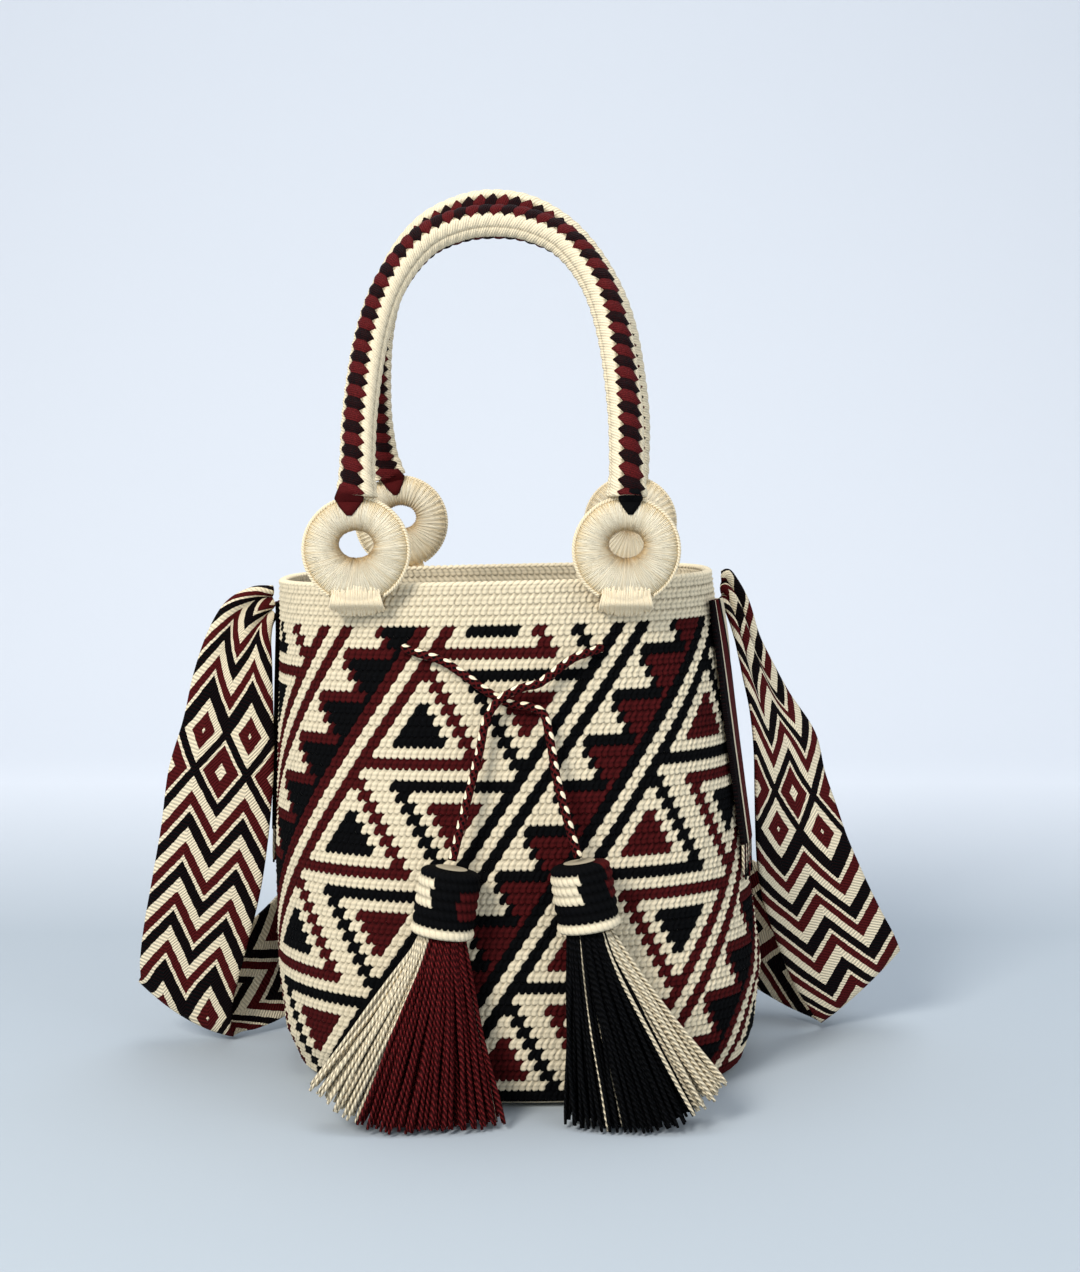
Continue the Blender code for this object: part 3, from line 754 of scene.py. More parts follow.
def wrapped_ring(node, body):
    mid = centre_of(node)
    major, minor = 480, 26
    a = np.linspace(0.0, TAU, major + 1)
    b = np.linspace(0.0, TAU, minor, endpoint=False)
    rng = np.random.default_rng(int(abs(mid[0]) * 1e4))
    # the wrap's own ridges, finer on the front rings
    ridges, high = (92, 0.03) if mid[1] < 0 else (50, 0.06)
    wave = 0.035 * np.interp(a, np.linspace(0, TAU, 61), rng.uniform(-1, 1, 61))
    wave += high * np.sin(ridges * a + 2.5 * np.sin(3.0 * a))
    wave[-1] = wave[0]
    verts, uv = [], []
    for k in range(major + 1):
        inner = hole_reach(a[k])
        half = (RING_OUTER - inner) / 2
        r = (RING_OUTER + inner) / 2 + half * (0.985 + wave[k] * 0.5) * np.cos(b)
        y = BAND_FLAT * (1.0 + wave[k]) * np.sin(b)
        verts.append(np.stack([mid[0] + r * math.sin(a[k]), mid[1] + y, mid[2] + r * math.cos(a[k])], axis=1))
        uv.append(np.stack([np.full(minor, THREADS * k / major), b / TAU], axis=1))
    piece = make_mesh(node + "_wrap", np.concatenate(verts), grid_quads(major + 1, minor, wrap=True), [SATIN],
                      uv=np.concatenate(uv))
    attach(piece, body, node)
    # A fine chain stitch runs round the ring's outer edge, a little to its front.
    turns, ends = 52, 0.83 * math.pi
    side = -1.0 if mid[1] < 0 else 1.0
    t = np.linspace(-ends, ends, turns * 8)
    lines = []
    for phase in (0.0, math.pi):
        r = RING_OUTER + 0.0001 + 0.0006 * np.cos(t * turns + phase)
        y = side * 0.0012 + 0.0008 * np.sin(t * turns + phase)
        lines.append(np.stack([mid[0] + r * np.sin(t), mid[1] + y, mid[2] + r * np.cos(t)], axis=1))
    edge = strands_mesh(node + "_edging", lines, 0.0007, YARN)
    attach(edge, body)


def lashing(node, ring):
    """Threads that sew the ring's lower edge to the rim, curving from the ring's face down onto the wall."""
    mid = centre_of(ring)
    low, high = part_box(node)
    side = -1.0 if mid[1] < 0 else 1.0
    face_y = low[1] if side < 0 else high[1]
    hinge = mid[2] - RING_OUTER
    lines = []
    count = 52
    for k in range(count):
        share = 2 * k / (count - 1) - 1
        spread = 0.0132 * share
        drop = math.sqrt(max(0.0, RING_OUTER ** 2 - spread ** 2))
        start = 0.0205 + 0.0012 * math.sin(k * 2.3) + 0.0015 * abs(share)
        sway = 0.0005 * math.sin(k * 1.3)
        points = []
        for down, lift in ((start, -0.0007), (0.5 * (start + drop), 0.0001), (drop - 0.0015, 0.0002)):
            r = math.hypot(spread, down)
            out = max(float(face_height(math.pi - math.asin(spread / r), r)), 0.0038 - 0.25 * (drop - down))
            points.append((mid[0] + spread + sway, mid[1] + side * (out + lift), mid[2] - down))
        wide = mid[0] + spread * 1.12 + sway
        foot = hinge - 0.007 + 0.003 * share * share + 0.0006 * math.sin(k * 1.9)
        points += [
            (wide, mid[1] + side * 0.0022, hinge - 0.0014),
            (wide, face_y + side * 0.001, hinge - 0.0044),
            (wide, face_y - side * 0.0014, foot),
            (wide, face_y - side * 0.0034, foot - 0.0008)]
        lines.append(smooth(points, 3))
    threads = strands_mesh(node + "_threads", lines, 0.00066, [LASHING])
    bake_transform(threads)
    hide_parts(node)


# --- Braided handles ---
FRONT_HANDLE = [
    (-0.0815, -0.095, 0.3478), (-0.0812, -0.092, 0.368), (-0.08, -0.082, 0.4),
    (-0.0745, -0.066, 0.44), (-0.064, -0.054, 0.471), (-0.0465, -0.043, 0.494), (-0.025, -0.037, 0.5045),
    (-0.005, -0.035, 0.507), (0.015, -0.037, 0.5045), (0.0365, -0.043, 0.494), (0.054, -0.054, 0.471),
    (0.064, -0.066, 0.44), (0.0692, -0.082, 0.4), (0.0702, -0.092, 0.368), (0.0702, -0.095, 0.3478)]
BACK_HANDLE = [
    (-0.0779, 0.096, 0.3565), (-0.0795, 0.0955, 0.3625), (-0.082, 0.093, 0.374),
    (-0.0845, 0.08, 0.405), (-0.081, 0.062, 0.45), (-0.07, 0.049, 0.484),
    (-0.051, 0.04, 0.509), (-0.028, 0.036, 0.5215), (-0.006, 0.035, 0.525),
    (0.017, 0.036, 0.5205), (0.04, 0.041, 0.506), (0.06, 0.05, 0.481), (0.0735, 0.062, 0.45),
    (0.082, 0.08, 0.405), (0.0835, 0.092, 0.375), (0.0815, 0.096, 0.3568)]
HANDLE_R = 0.0083
LUMP_RISE = 0.0019
FLARE, FLARE_REACH = 0.16, 0.01     # the handle widens by this share within this reach of its ends
LUMP = 0.0069               # length of one lump of the braid along the handle
STRIPE = 0.66               # half the dark stripe's width, in sixths of the way round
TOOTH = 0.19                # how far its teeth reach
LEAN_DARK = 0.42            # how far the lumps lean along the handle, across a sixth
LEAN_PALE = 0.75
# where the dark stripe faces: share of the handle's length, degrees
FRONT_STRIPE = [(0.0, -20.0), (0.12, -24.0), (0.28, -34.0), (0.5, -40.0), (0.72, -27.0), (0.88, -18.0),
                (1.0, -16.0)]
BACK_STRIPE = [(0.0, 4.0), (0.12, 6.0), (0.3, -5.0), (0.5, -18.0), (0.7, -5.0), (1.0, 6.0)]


def braid_material():
    """Cream braid with two opposite columns of lumps, alternately burgundy and black, with toothed edges."""
    n = Nodes("handle_braid")
    u, v = n.uv()
    off = ((u * 2.0 + 0.5).fract() - 0.5) * 3.0
    lean = v + off * LEAN_DARK
    tooth = 1.0 - abs(lean.fract() - 0.5) * 4.0
    inside = abs(off) < tooth * TOOTH + STRIPE
    odd = n.math("MODULO", n.math("FLOOR", lean), 2.0) > 0.5
    fibre = n.noise(1500.0, 2.0)
    dark = n.mix(odd, shade(BURGUNDY, 1.1), shade(BLACK, 2.4))
    dark_light = n.mix(odd, shade(BURGUNDY, 3.0), shade(BURGUNDY, 0.5))
    dark = n.mix(n.remap(fibre, 0.35, 0.75, 0.0, 1.0), dark, dark_light)
    pale = n.mix(n.remap(fibre, 0.3, 0.7, 0.0, 1.0), shade(CREAM_LIGHT, 0.9), shade(CREAM_LIGHT, 1.08))
    tone = n.mix(inside, pale, dark)
    # painted shade for the hollows between lumps and the grooves between strands
    hollow_shade = n.mix(inside, shade(CREAM, 0.34), shade(BLACK, 0.6))
    tone = n.mix(n.remap(n.attribute("depth"), 0.0, 0.55, 0.9, 0.0), tone, hollow_shade)
    strand = n.mix_value(inside, (v + off * LEAN_PALE) * 4.0, lean * 6.0).wave()
    # painted shade in the grooves between strands
    tone = n.mix(n.remap(strand, -1.0, -0.2, 0.28, 0.0), tone, hollow_shade)
    n.bump(strand * 0.7 + fibre, 0.6, 0.0005)
    return n.finish(tone, 0.6)


BRAID = braid_material()


def braided_handle(name, route, body, stripe):
    line, along = resample(smooth(route, 12), 0.00115)
    around = 72
    beats = (along / LUMP)[:, None]
    off = ((np.arange(around) / around * 2.0 + 0.5) % 1.0 - 0.5) * 3.0
    beat = np.abs((beats + off * LEAN_DARK) % 1.0 - 0.5)
    reach = STRIPE + TOOTH * (1.0 - 4.0 * beat)
    dark = np.abs(off) < reach
    # lumps of the dark stripe and of the cream columns beside it
    dark_across = np.clip(1.0 - (off / reach) ** 2 * 0.85, 0.0, 1.0)
    middle = (1.5 + STRIPE) / 2
    pale_across = np.clip(1.0 - ((np.abs(off) - middle) / (1.5 - middle)) ** 2 * 0.9, 0.0, 1.0)
    pale_beat = np.abs((beats + off * LEAN_PALE + 0.3) % 1.0 - 0.5)
    across = np.sqrt(np.where(dark, dark_across, pale_across))
    run = np.sqrt(np.clip(1.0 - (2.0 * np.where(dark, beat, pale_beat)) ** 2 * 0.92, 0.0, 1.0))
    high = np.clip(across * (0.3 + 0.7 * run), 0.0, 1.0)
    end = np.minimum(along, along[-1] - along)
    flare = 1.0 + FLARE * np.exp(-(end / FLARE_REACH) ** 2)
    radius = (HANDLE_R + LUMP_RISE * high) * flare[:, None]
    shares, degrees = zip(*stripe)
    phase = np.radians(np.interp(along / along[-1], shares, degrees))
    verts, quads, uv = seamed_tube(line, radius, around, along / LUMP, phase=phase)
    high = np.concatenate([high, high[:, :1]], axis=1)
    piece = make_mesh(name + "_braid", verts, quads, [BRAID], depth=high, uv=uv)
    attach(piece, body, name)


def handle_tip(name, ring, body, slot, aside, lean, half_w, lap, rise):
    """The pointed end of a coloured strand, from the handle's foot over the ring towards its hole."""
    mid = centre_of(ring)
    rows, cols = 30, 21
    turn = math.radians(lean)
    foot = RING_OUTER + rise
    verts, depth = [], []
    for i in range(rows):
        t = i / (rows - 1)
        down = t * (lap + rise)
        r = foot - down
        half = half_w * (0.62 + 0.38 * min(1.0, down / rise)) if down < rise else \
            half_w * (1.0 - ((down - rise) / lap) ** 1.3 * 0.86)
        # on the ring the tip lies on its face; above it, on the handle's foot
        skin = float(face_height(0.0, min(r, RING_OUTER - 0.0015))) if r < RING_OUTER - 0.0015 else 0.0
        skin = max(skin, min(0.0088, 0.0032 + 0.9 * max(0.0, r - RING_OUTER + 0.003)))
        for k in range(cols):
            c = 2 * k / (cols - 1) - 1
            dome = math.sqrt(max(0.0, 1.0 - c * c))
            puff = 0.003 * dome * (1.0 - 0.4 * t) * min(1.0, 0.3 + 4.0 * t, 0.25 + 5.0 * (1.0 - t))
            x = c * half + aside
            xr = x * math.cos(turn) + r * math.sin(turn)
            zr = -x * math.sin(turn) + r * math.cos(turn)
            verts.append((mid[0] + xr, mid[1] - skin * (0.9 + 0.06 * dome) - puff, mid[2] + zr))
            # painted shade towards the tip's edges, through the yarn material
            depth.append(0.2 + 0.8 * dome)
    quads = grid_quads(rows, cols)
    piece = make_mesh(name, verts, quads, YARN, np.full(len(quads), slot), depth=depth)
    solid = piece.modifiers.new("cord", "SOLIDIFY")
    solid.thickness = 0.0014
    solid.offset = 0.0
    attach(piece, body)


# --- Drawstring ---
CORD_D = 0.005
CORD_OFF_WALL = 0.0016
CORD_TURN = 0.075
EYELET_Z = 0.262
FRONT_EYELETS = (-0.055, 0.055)
BACK_EYELETS = (-0.05, 0.05)
FRONT_LEFT_END = [
    (-0.0475, -0.0945, 0.259), (-0.035, -0.096, 0.256), (-0.022, -0.0975, 0.248),
    (-0.011, -0.0985, 0.24), (-0.003, -0.099, 0.235), (0.004, -0.099, 0.2315),
    (0.011, -0.0995, 0.2305), (0.019, -0.101, 0.229), (0.024, -0.103, 0.225),
    (0.0265, -0.106, 0.215), (0.0285, -0.109, 0.204), (0.0305, -0.113, 0.192),
    (0.036, -0.118, 0.171), (0.04, -0.121, 0.157), (0.0428, -0.1225, 0.1485)]
FRONT_RIGHT_END = [
    (0.048, -0.095, 0.26), (0.04, -0.0975, 0.257), (0.03, -0.1, 0.25),
    (0.021, -0.103, 0.2435), (0.014, -0.1045, 0.242), (0.007, -0.105, 0.2395),
    (0.0, -0.1052, 0.2355), (-0.006, -0.1055, 0.229), (-0.01, -0.1065, 0.219),
    (-0.012, -0.108, 0.208), (-0.015, -0.11, 0.196), (-0.0195, -0.114, 0.178),
    (-0.024, -0.118, 0.16), (-0.0275, -0.121, 0.146)]
FLECK = 0.0085              # distance between cream flecks along the cord


def cord_material():
    """Round braid of burgundy and black strands with slanted cream flecks."""
    n = Nodes("drawstring_braid")
    u, v = n.uv()
    # strands cross at a slant both ways: a diamond braid
    one = (u * 4.0 + v * 2.0).fract()
    two = (u * 4.0 - v * 2.0).fract()
    tone = n.mix(one > 0.5, shade(BURGUNDY, 1.3), BLACK)
    tone = n.mix(two > 0.72, tone, shade(BURGUNDY, 1.6))
    # painted shade in the crevices where the strands meet
    seam = n.math("MINIMUM", n.math("PINGPONG", one, 0.5), n.math("PINGPONG", two, 0.5))
    tone = n.mix(n.remap(seam, 0.0, 0.1, 0.7, 0.0), tone, shade(BLACK, 0.5))
    # flecks: ovals on opposite sides, staggered by half a step
    around = u * 2.0
    x = around.fract() - 0.5
    y = (v + n.math("FLOOR", around) * 0.5).fract() - 0.5
    fleck = ((x + y * 0.45) / 0.2) ** 2.0 + (y / 0.29) ** 2.0 < 1.0
    tone = n.mix(fleck, tone, shade(CREAM_LIGHT, 1.05))
    n.bump(fleck * 0.7 + seam * 1.2 + n.noise(2200.0, 2.0) * 0.3, 0.6, 0.0005)
    return n.finish(tone)


CORD = cord_material()


def cord_piece(name, node, route):
    route = np.array(route)
    line, along = resample(route, 0.0011)
    around = 20
    ripple = 1.0 + 0.05 * np.sin(TAU * (along[:, None] * 2.0 / FLECK + np.arange(around) * 2.0 / around))
    verts, quads, uv = seamed_tube(line, CORD_D / 2 * 0.97 * ripple, around, along / FLECK)
    piece = make_mesh(name, verts, quads, [CORD], uv=uv)
    attach(piece, BAG, node)
    return piece, route


def wall_normal(angle, z):
    a = wall_at(np.array([angle + 0.01]), np.array([z]))[0]
    b = wall_at(np.array([angle - 0.01]), np.array([z]))[0]
    out = np.array([(a - b)[1], -(a - b)[0], 0.0])
    return out / np.linalg.norm(out)


def untilted(angle, z):
    """A point of the wall at a level height, as the drawstring's plane has it."""
    point = wall_at(np.array([angle]), np.array([z]))[0]
    point[2] = z
    return point


def eyelet(x, side):
    mid, half_w, half_d, power = section(EYELET_Z)
    y = side * half_d * (1.0 - (abs(x - mid) / half_w) ** power) ** (1.0 / power)
    angle = math.atan2(y / half_d, (x - mid) / half_w)
    return untilted(angle, EYELET_Z), wall_normal(angle, EYELET_Z), angle


def radial(place, out, *steps):
    """Points at some distances along the wall's normal."""
    return [place + out * d for d in steps]


def wall_run(first, last, offset, count):
    angles = [first + (last - first) * i / (count - 1) for i in range(count)]
    return [untilted(a, EYELET_Z) + wall_normal(a, EYELET_Z) * offset for a in angles]


def drawstring():
    gap = 0.0003
    fl, fl_out, fl_angle = eyelet(FRONT_EYELETS[0], -1)
    fr, fr_out, fr_angle = eyelet(FRONT_EYELETS[1], -1)
    bl, bl_out, bl_angle = eyelet(BACK_EYELETS[0], 1)
    br, br_out, br_angle = eyelet(BACK_EYELETS[1], 1)
    free = {
        "right": (fl, fl_out, FRONT_LEFT_END),
        "left": (fr, fr_out, FRONT_RIGHT_END),
    }
    for side, (place, out, knots) in free.items():
        route = radial(place, out, gap, 0.004) + list(smooth(knots, 4)[2:])
        piece, path = cord_piece("cord_to_%s_tassel" % side, "drawstring_to_%s_tassel" % side, route)
    inside = -WALL - CORD_D / 2 - CORD_OFF_WALL
    left = wall_run(fl_angle + TAU - CORD_TURN, bl_angle + CORD_TURN, inside, 17)
    cord_piece("cord_inside_left", "drawstring_inside_left",
               radial(fl, fl_out, -gap, inside) + left[1:-1] + radial(bl, bl_out, inside, -gap))
    right = wall_run(fr_angle + CORD_TURN, br_angle - CORD_TURN, inside, 17)
    cord_piece("cord_inside_right", "drawstring_inside_right",
               radial(fr, fr_out, -gap, inside) + right[1:-1] + radial(br, br_out, inside, -gap))
    outside = CORD_D / 2 + CORD_OFF_WALL
    across = wall_run(bl_angle - CORD_TURN, br_angle + CORD_TURN, outside, 7)
    cord_piece("cord_across_back", "drawstring_across_back",
               radial(bl, bl_out, gap, outside) + across + radial(br, br_out, outside, gap))


# --- Tassels ---
TASSELS = {
    # cap's top and bottom middle, fan's middle on the ground, half width and depth, side that lifts
    "left": ((-0.0278, -0.123, 0.1425), (-0.0335, -0.124, 0.105), (-0.053, -0.142), 0.056, 0.017, -1),
    "right": ((0.0432, -0.123, 0.146), (0.049, -0.124, 0.1085), (0.08, -0.14), 0.046, 0.017, 1),
}
CAP_R = 0.0172
# share of the cap's height from its mouth, and of its radius there
CAP_PROFILE = [(0.0, 0.2, 0.45, 0.84, 0.94, 0.985, 1.0), (1.0, 0.99, 1.0, 0.99, 0.93, 0.8, 0.55)]
GOLDEN_ANGLE = 2.399963     # spreads the strands evenly over the cap's mouth
STRANDS = 250
STRAND_R = 0.00118


# patches on a cap: from and to in degrees, first and last row, colour
CAP_PATCHES = {
    "left": [(-110, -30, 1, 3, CREAM_I), (22, 110, 2, 4, BURGUNDY_I), (-181, -140, 1, 3, CREAM_I),
             (140, 181, 1, 3, CREAM_I)],
    "right": [(-95, -8, 1, 3, CREAM_I), (48, 120, 0, 3, BURGUNDY_I), (-181, -150, 1, 3, CREAM_I),
              (150, 181, 1, 3, CREAM_I)],
}


def cap_colour(side, degrees, row):
    """Colour of a cap's stitch: degrees from the front, positive to the right; row 0 at the crown."""
    if row >= 6:
        return np.full(degrees.shape, CREAM_I)
    out = np.full(degrees.shape, BLACK_I)
    for low, high, first, last, colour in CAP_PATCHES[side]:
        if first <= row <= last:
            out[(degrees > low) & (degrees < high)] = colour
    return out


def tassel_cap(side, top, bottom):
    top, bottom = np.array(top), np.array(bottom)
    line = top - bottom
    tall = np.linalg.norm(line)
    axis = line / tall
    right = np.array([1.0, 0.0, 0.0]) - axis * axis[0]
    right /= np.linalg.norm(right)
    back = np.cross(axis, right)
    stitches, across, rows, down = 30, 4, 7, 4
    cols = stitches * across
    verts, depth, slots = [], [], []
    levels = rows * down + 1
    for n in range(levels):
        t = n / (levels - 1)
        f = (n % down) / down
        high = 0.15 if n % down == 0 else (0.8, 1.0, 0.85)[n % down - 1]
        h = 1.0 - t
        r = np.interp(h, *CAP_PROFILE) * CAP_R * 0.97
        i = np.arange(cols)
        shift = 0.5 * (n // down)
        a = TAU * (i / cols) + TAU * (shift + 0.35 * f) / stitches
        near = np.minimum((i % across) / across, 1.0 - (i % across) / across)
        bulge = high * (0.35 + 0.65 * np.sqrt(np.clip(1 - (1 - 2 * near) ** 2 * 0.95, 0, 1)))
        if t > 0.86:
            bulge = bulge * 1.25
        rr = r + 0.0013 * (bulge - 0.45)
        spike = 0.0012 * np.exp(-(near / 0.15) ** 2) if n % down == 0 and 0 < n < levels - 1 else 0.0
        ring = bottom + axis * (h * tall + np.zeros(cols) + spike)[:, None]
        ring = ring + right * (rr * np.sin(a) * 1.02)[:, None] - back * (rr * np.cos(a) * 0.93)[:, None]
        verts.append(ring)
        depth.append(bulge)
    for row in range(rows):
        j = np.arange(stitches)
        mid = TAU * (j + 0.5) / stitches + TAU * 0.5 * row / stitches
        degrees = (np.degrees(mid) + 180.0) % 360.0 - 180.0
        tone = np.repeat(cap_colour(side, degrees, row), across)
        slots.append(np.tile(tone, down))
    crown, mouth = cap_quads(0, cols)[:, ::-1], cap_quads((levels - 1) * cols, cols)
    quads = np.vstack([grid_quads(levels, cols, wrap=True), crown, mouth])
    slots.append(np.full(len(crown) + len(mouth), CREAM_I))
    piece = make_mesh("cap_" + side, np.concatenate(verts), quads, YARN, np.concatenate(slots),
                      depth=np.concatenate(depth))
    flip_if_inside_out(piece)
    attach(piece, BAG, "tassel_cap_" + side)


def flip_if_inside_out(piece):
    """Turn a closed mesh's faces outwards if its signed volume is negative."""
    mesh = piece.data
    mesh.calc_loop_triangles()
    co = np.empty(len(mesh.vertices) * 3, dtype=np.float64)
    mesh.vertices.foreach_get("co", co)
    co = co.reshape(-1, 3)
    tri = np.empty(len(mesh.loop_triangles) * 3, dtype=np.int32)
    mesh.loop_triangles.foreach_get("vertices", tri)
    a, b, c = (co[tri.reshape(-1, 3)[:, k]] for k in range(3))
    if np.einsum("ij,ij->i", a, np.cross(b, c)).sum() < 0:
        mesh.flip_normals()


def ply_material(name, colour, light):
    """Twisted tassel yarn: two plies that wind round each strand, with painted shade in the grooves between
    them and a painted highlight on their crests.
    """
    n = Nodes(name)
    u, v = n.uv()
    twist = (u * 2.0 + v).wave()
    fibre = n.noise(1700.0, 2.0)
    # painted shade in the twist's grooves
    tone = n.mix(n.remap(twist, -1.0, 0.4, 0.0, 1.0), shade(colour, 0.42), colour)
    # painted highlight on the twist's crests, broken up by fibre
    lit = n.remap(twist, 0.1, 0.9, 0.0, 1.0) * n.remap(fibre, 0.4, 0.62, 0.15, 1.0)
    tone = n.mix(lit, tone, shade(colour, light))
    n.bump(twist + fibre * 0.5, 0.8, 0.0006)
    return n.finish(tone, 0.75)


PLY = [
    ply_material("ply_cream", shade(CREAM_LIGHT, 0.97), 1.06),
    ply_material("ply_burgundy", shade(BURGUNDY, 1.2), 3.4),
    ply_material("ply_black", BLACK, 5.0),
]
PLY_TURN = 0.0036


def yarn_bundle(name, lines, radius, slots):
    """Plied yarns as closed tubes with UVs that follow the twist."""
    verts, uv, quads, tones, count = [], [], [], [], 0
    for line, slot in zip(lines, slots):
        pts, along = resample(line, 0.006)
        taper = np.full((len(pts), 1), radius)
        taper[-1] *= 0.75
        tube, faces, place = seamed_tube(pts, taper, 6, along / PLY_TURN, start=count)
        verts.append(tube)
        uv.append(place)
        quads.append(faces)
        tones.append(np.full(len(faces), slot))
        count += len(tube)
    return make_mesh(name, np.vstack(verts), np.vstack(quads), PLY, np.concatenate(tones), uv=np.vstack(uv))


def tassel_skirt(side, bottom, ground, half_w, half_d, lift):
    rng = random.Random(11 if side == "left" else 23)
    bottom = np.array(bottom)
    lines, slots = [], []
    for k in range(STRANDS):
        rho = math.sqrt((k + 0.5) / STRANDS)
        a = k * GOLDEN_ANGLE
        cx, cy = rho * math.cos(a), rho * math.sin(a)
        start = bottom + np.array([cx * 0.0118, cy * 0.011, 0.001 - 0.001 * lift * cx])
        reach = cx * 0.985 + rng.uniform(-0.02, 0.02)
        outer = max(0.0, reach * lift)
        end_z = 0.0014 + 0.024 * outer ** 2.2 + rng.uniform(0.0, 0.0035)
        end = np.array([ground[0] + half_w * reach, ground[1] + half_d * 0.95 * cy, end_z])
        sway = rng.uniform(-0.002, 0.002)
        points = []
        for n in range(9):
            t = n / 8
            ease = t ** 1.12
            point = start + (end - start) * np.array([ease, ease, t])
            point[0] += sway * math.sin(math.pi * t) + 0.0006 * math.sin(7.0 * t + k)
            points.append(point)
        lines.append(smooth(points, 3))
        if side == "left":
            pale, dark = reach < -0.42 + 0.05 * cy or k % 97 == 5, BURGUNDY_I
        else:
            pale, dark = reach > 0.62 + 0.05 * cy or k % 89 == 7, BLACK_I
        slots.append(CREAM_I if pale else dark)
    skirt = yarn_bundle("skirt_" + side, lines, STRAND_R, slots)
    attach(skirt, BAG, "tassel_skirt_" + side)


# --- Shoulder strap ---
STRAP_LEFT = [
    ((-0.1415, -0.004, 0.291), (-0.1415, -0.004, 0.272)),
    ((-0.154, -0.008, 0.2905), (-0.143, -0.007, 0.266)),
    ((-0.169, -0.011, 0.282), (-0.143, -0.01, 0.258)),
    ((-0.18, -0.012, 0.264), (-0.1418, -0.012, 0.247)),
    ((-0.189, -0.012, 0.239), (-0.1412, -0.013, 0.231)),
    ((-0.196, -0.011, 0.211), (-0.141, -0.013, 0.207)),
    ((-0.206, -0.008, 0.18), (-0.1418, -0.011, 0.177)),
    ((-0.212, -0.004, 0.144), (-0.1455, -0.007, 0.141)),
    ((-0.219, 0.0, 0.11), (-0.1517, -0.003, 0.103)),
    ((-0.226, 0.006, 0.078), (-0.161, 0.003, 0.068)),
    ((-0.2295, 0.01, 0.056), (-0.171, 0.01, 0.033)),
    ((-0.23, 0.014, 0.044), (-0.1745, 0.015, 0.012)),
    ((-0.232, 0.019, 0.04), (-0.1745, 0.021, 0.004)),
    ((-0.229, 0.026, 0.043), (-0.17, 0.029, 0.004)),
    ((-0.202, 0.034, 0.055), (-0.158, 0.036, 0.0045)),
    ((-0.164, 0.044, 0.073), (-0.14, 0.052, 0.011)),
    ((-0.135, 0.07, 0.1), (-0.106, 0.094, 0.034))]
STRAP_BACK = [
    ((-0.102, 0.132), (-0.072, 0.068)),
    ((-0.065, 0.166), (-0.04, 0.103)),
    ((-0.026, 0.19), (-0.014, 0.125)),
    ((0.008, 0.197), (0.008, 0.13)),
    ((0.043, 0.188), (0.03, 0.123)),
    ((0.083, 0.162), (0.057, 0.1)),
    ((0.118, 0.132), (0.088, 0.067))]
STRAP_RIGHT = [
    ((0.156, 0.09, 0.106), (0.127, 0.103, 0.038)),
    ((0.192, 0.084, 0.088), (0.158, 0.093, 0.02)),
    ((0.226, 0.072, 0.069), (0.185, 0.076, 0.007)),
    ((0.245, 0.062, 0.057), (0.199, 0.06, 0.0042)),
    ((0.253, 0.053, 0.0515), (0.204, 0.05, 0.0042)),
    ((0.253, 0.046, 0.0545), (0.199, 0.042, 0.0095)),
    ((0.2475, 0.039, 0.0667), (0.1844, 0.033, 0.0331)),
    ((0.2401, 0.034, 0.0796), (0.1748, 0.025, 0.0554)),
    ((0.2317, 0.029, 0.0955), (0.1669, 0.016, 0.0766)),
    ((0.2234, 0.024, 0.1124), (0.1602, 0.006, 0.0966)),
    ((0.2144, 0.021, 0.1318), (0.1558, -0.006, 0.1208)),
    ((0.2068, 0.02, 0.1527), (0.1538, -0.014, 0.1447)),
    ((0.1994, 0.02, 0.1734), (0.1528, -0.018, 0.1676)),
    ((0.1928, 0.019, 0.1983), (0.152, -0.018, 0.1936)),
    ((0.1756, 0.014, 0.2236), (0.1491, -0.018, 0.2175)),
    ((0.1635, 0.008, 0.2446), (0.1443, -0.017, 0.2383)),
    ((0.1548, 0.004, 0.2611), (0.1402, -0.015, 0.256)),
    ((0.1475, 0.0, 0.283), (0.136, -0.01, 0.273)),
    ((0.1375, -0.004, 0.3), (0.1335, -0.006, 0.28)),
    ((0.1318, -0.004, 0.3), (0.1318, -0.004, 0.28))]
# Where each fold on the ground sags: row, and how far its middle drops.
STRAP_SAGS = {12.0: 0.006, 28.5: 0.003}
SAG_SPREAD = 1.6            # rows on each side that a sag takes in
# side: sign in X, front edge in Y, top in Z
TAILS = {"left": (-1, 0.004, 0.281), "right": (1, -0.045, 0.286)}
STRAP_CLEAR = 0.006
STRAP_WIDE = 0.067
STRAP_T = 0.0026
TAIL_CLEAR = 0.0042
FRINGE = 44                 # yarns in each tail's fringe

# The chevron's measures along the strap, in metres.
ZIG = 0.025                # how far a zigzag reaches
TALL = 2.0 * ZIG            # a row of diamonds, from tip to tip
BAND_P = 0.033             # one set of chevron bands
GROUP_P = 0.186             # from one row of diamonds to the next
GROUP_AT = 0.088            # start of the first row of diamonds
EDGE_BLACK = 0.0045         # black beyond the diamonds' own border
SHEAR = 0.038               # how much further the inner edge's pattern has run than the outer's
DRIFT = 0.04               # the same at the right side, from the hidden stretch behind the bag
# colour codes of the strap's yarns
AS_CREAM, AS_BURGUNDY, AS_BLACK = (1.0, 0.0, 0.0), (0.0, 1.0, 0.0), (0.0, 0.0, 1.0)


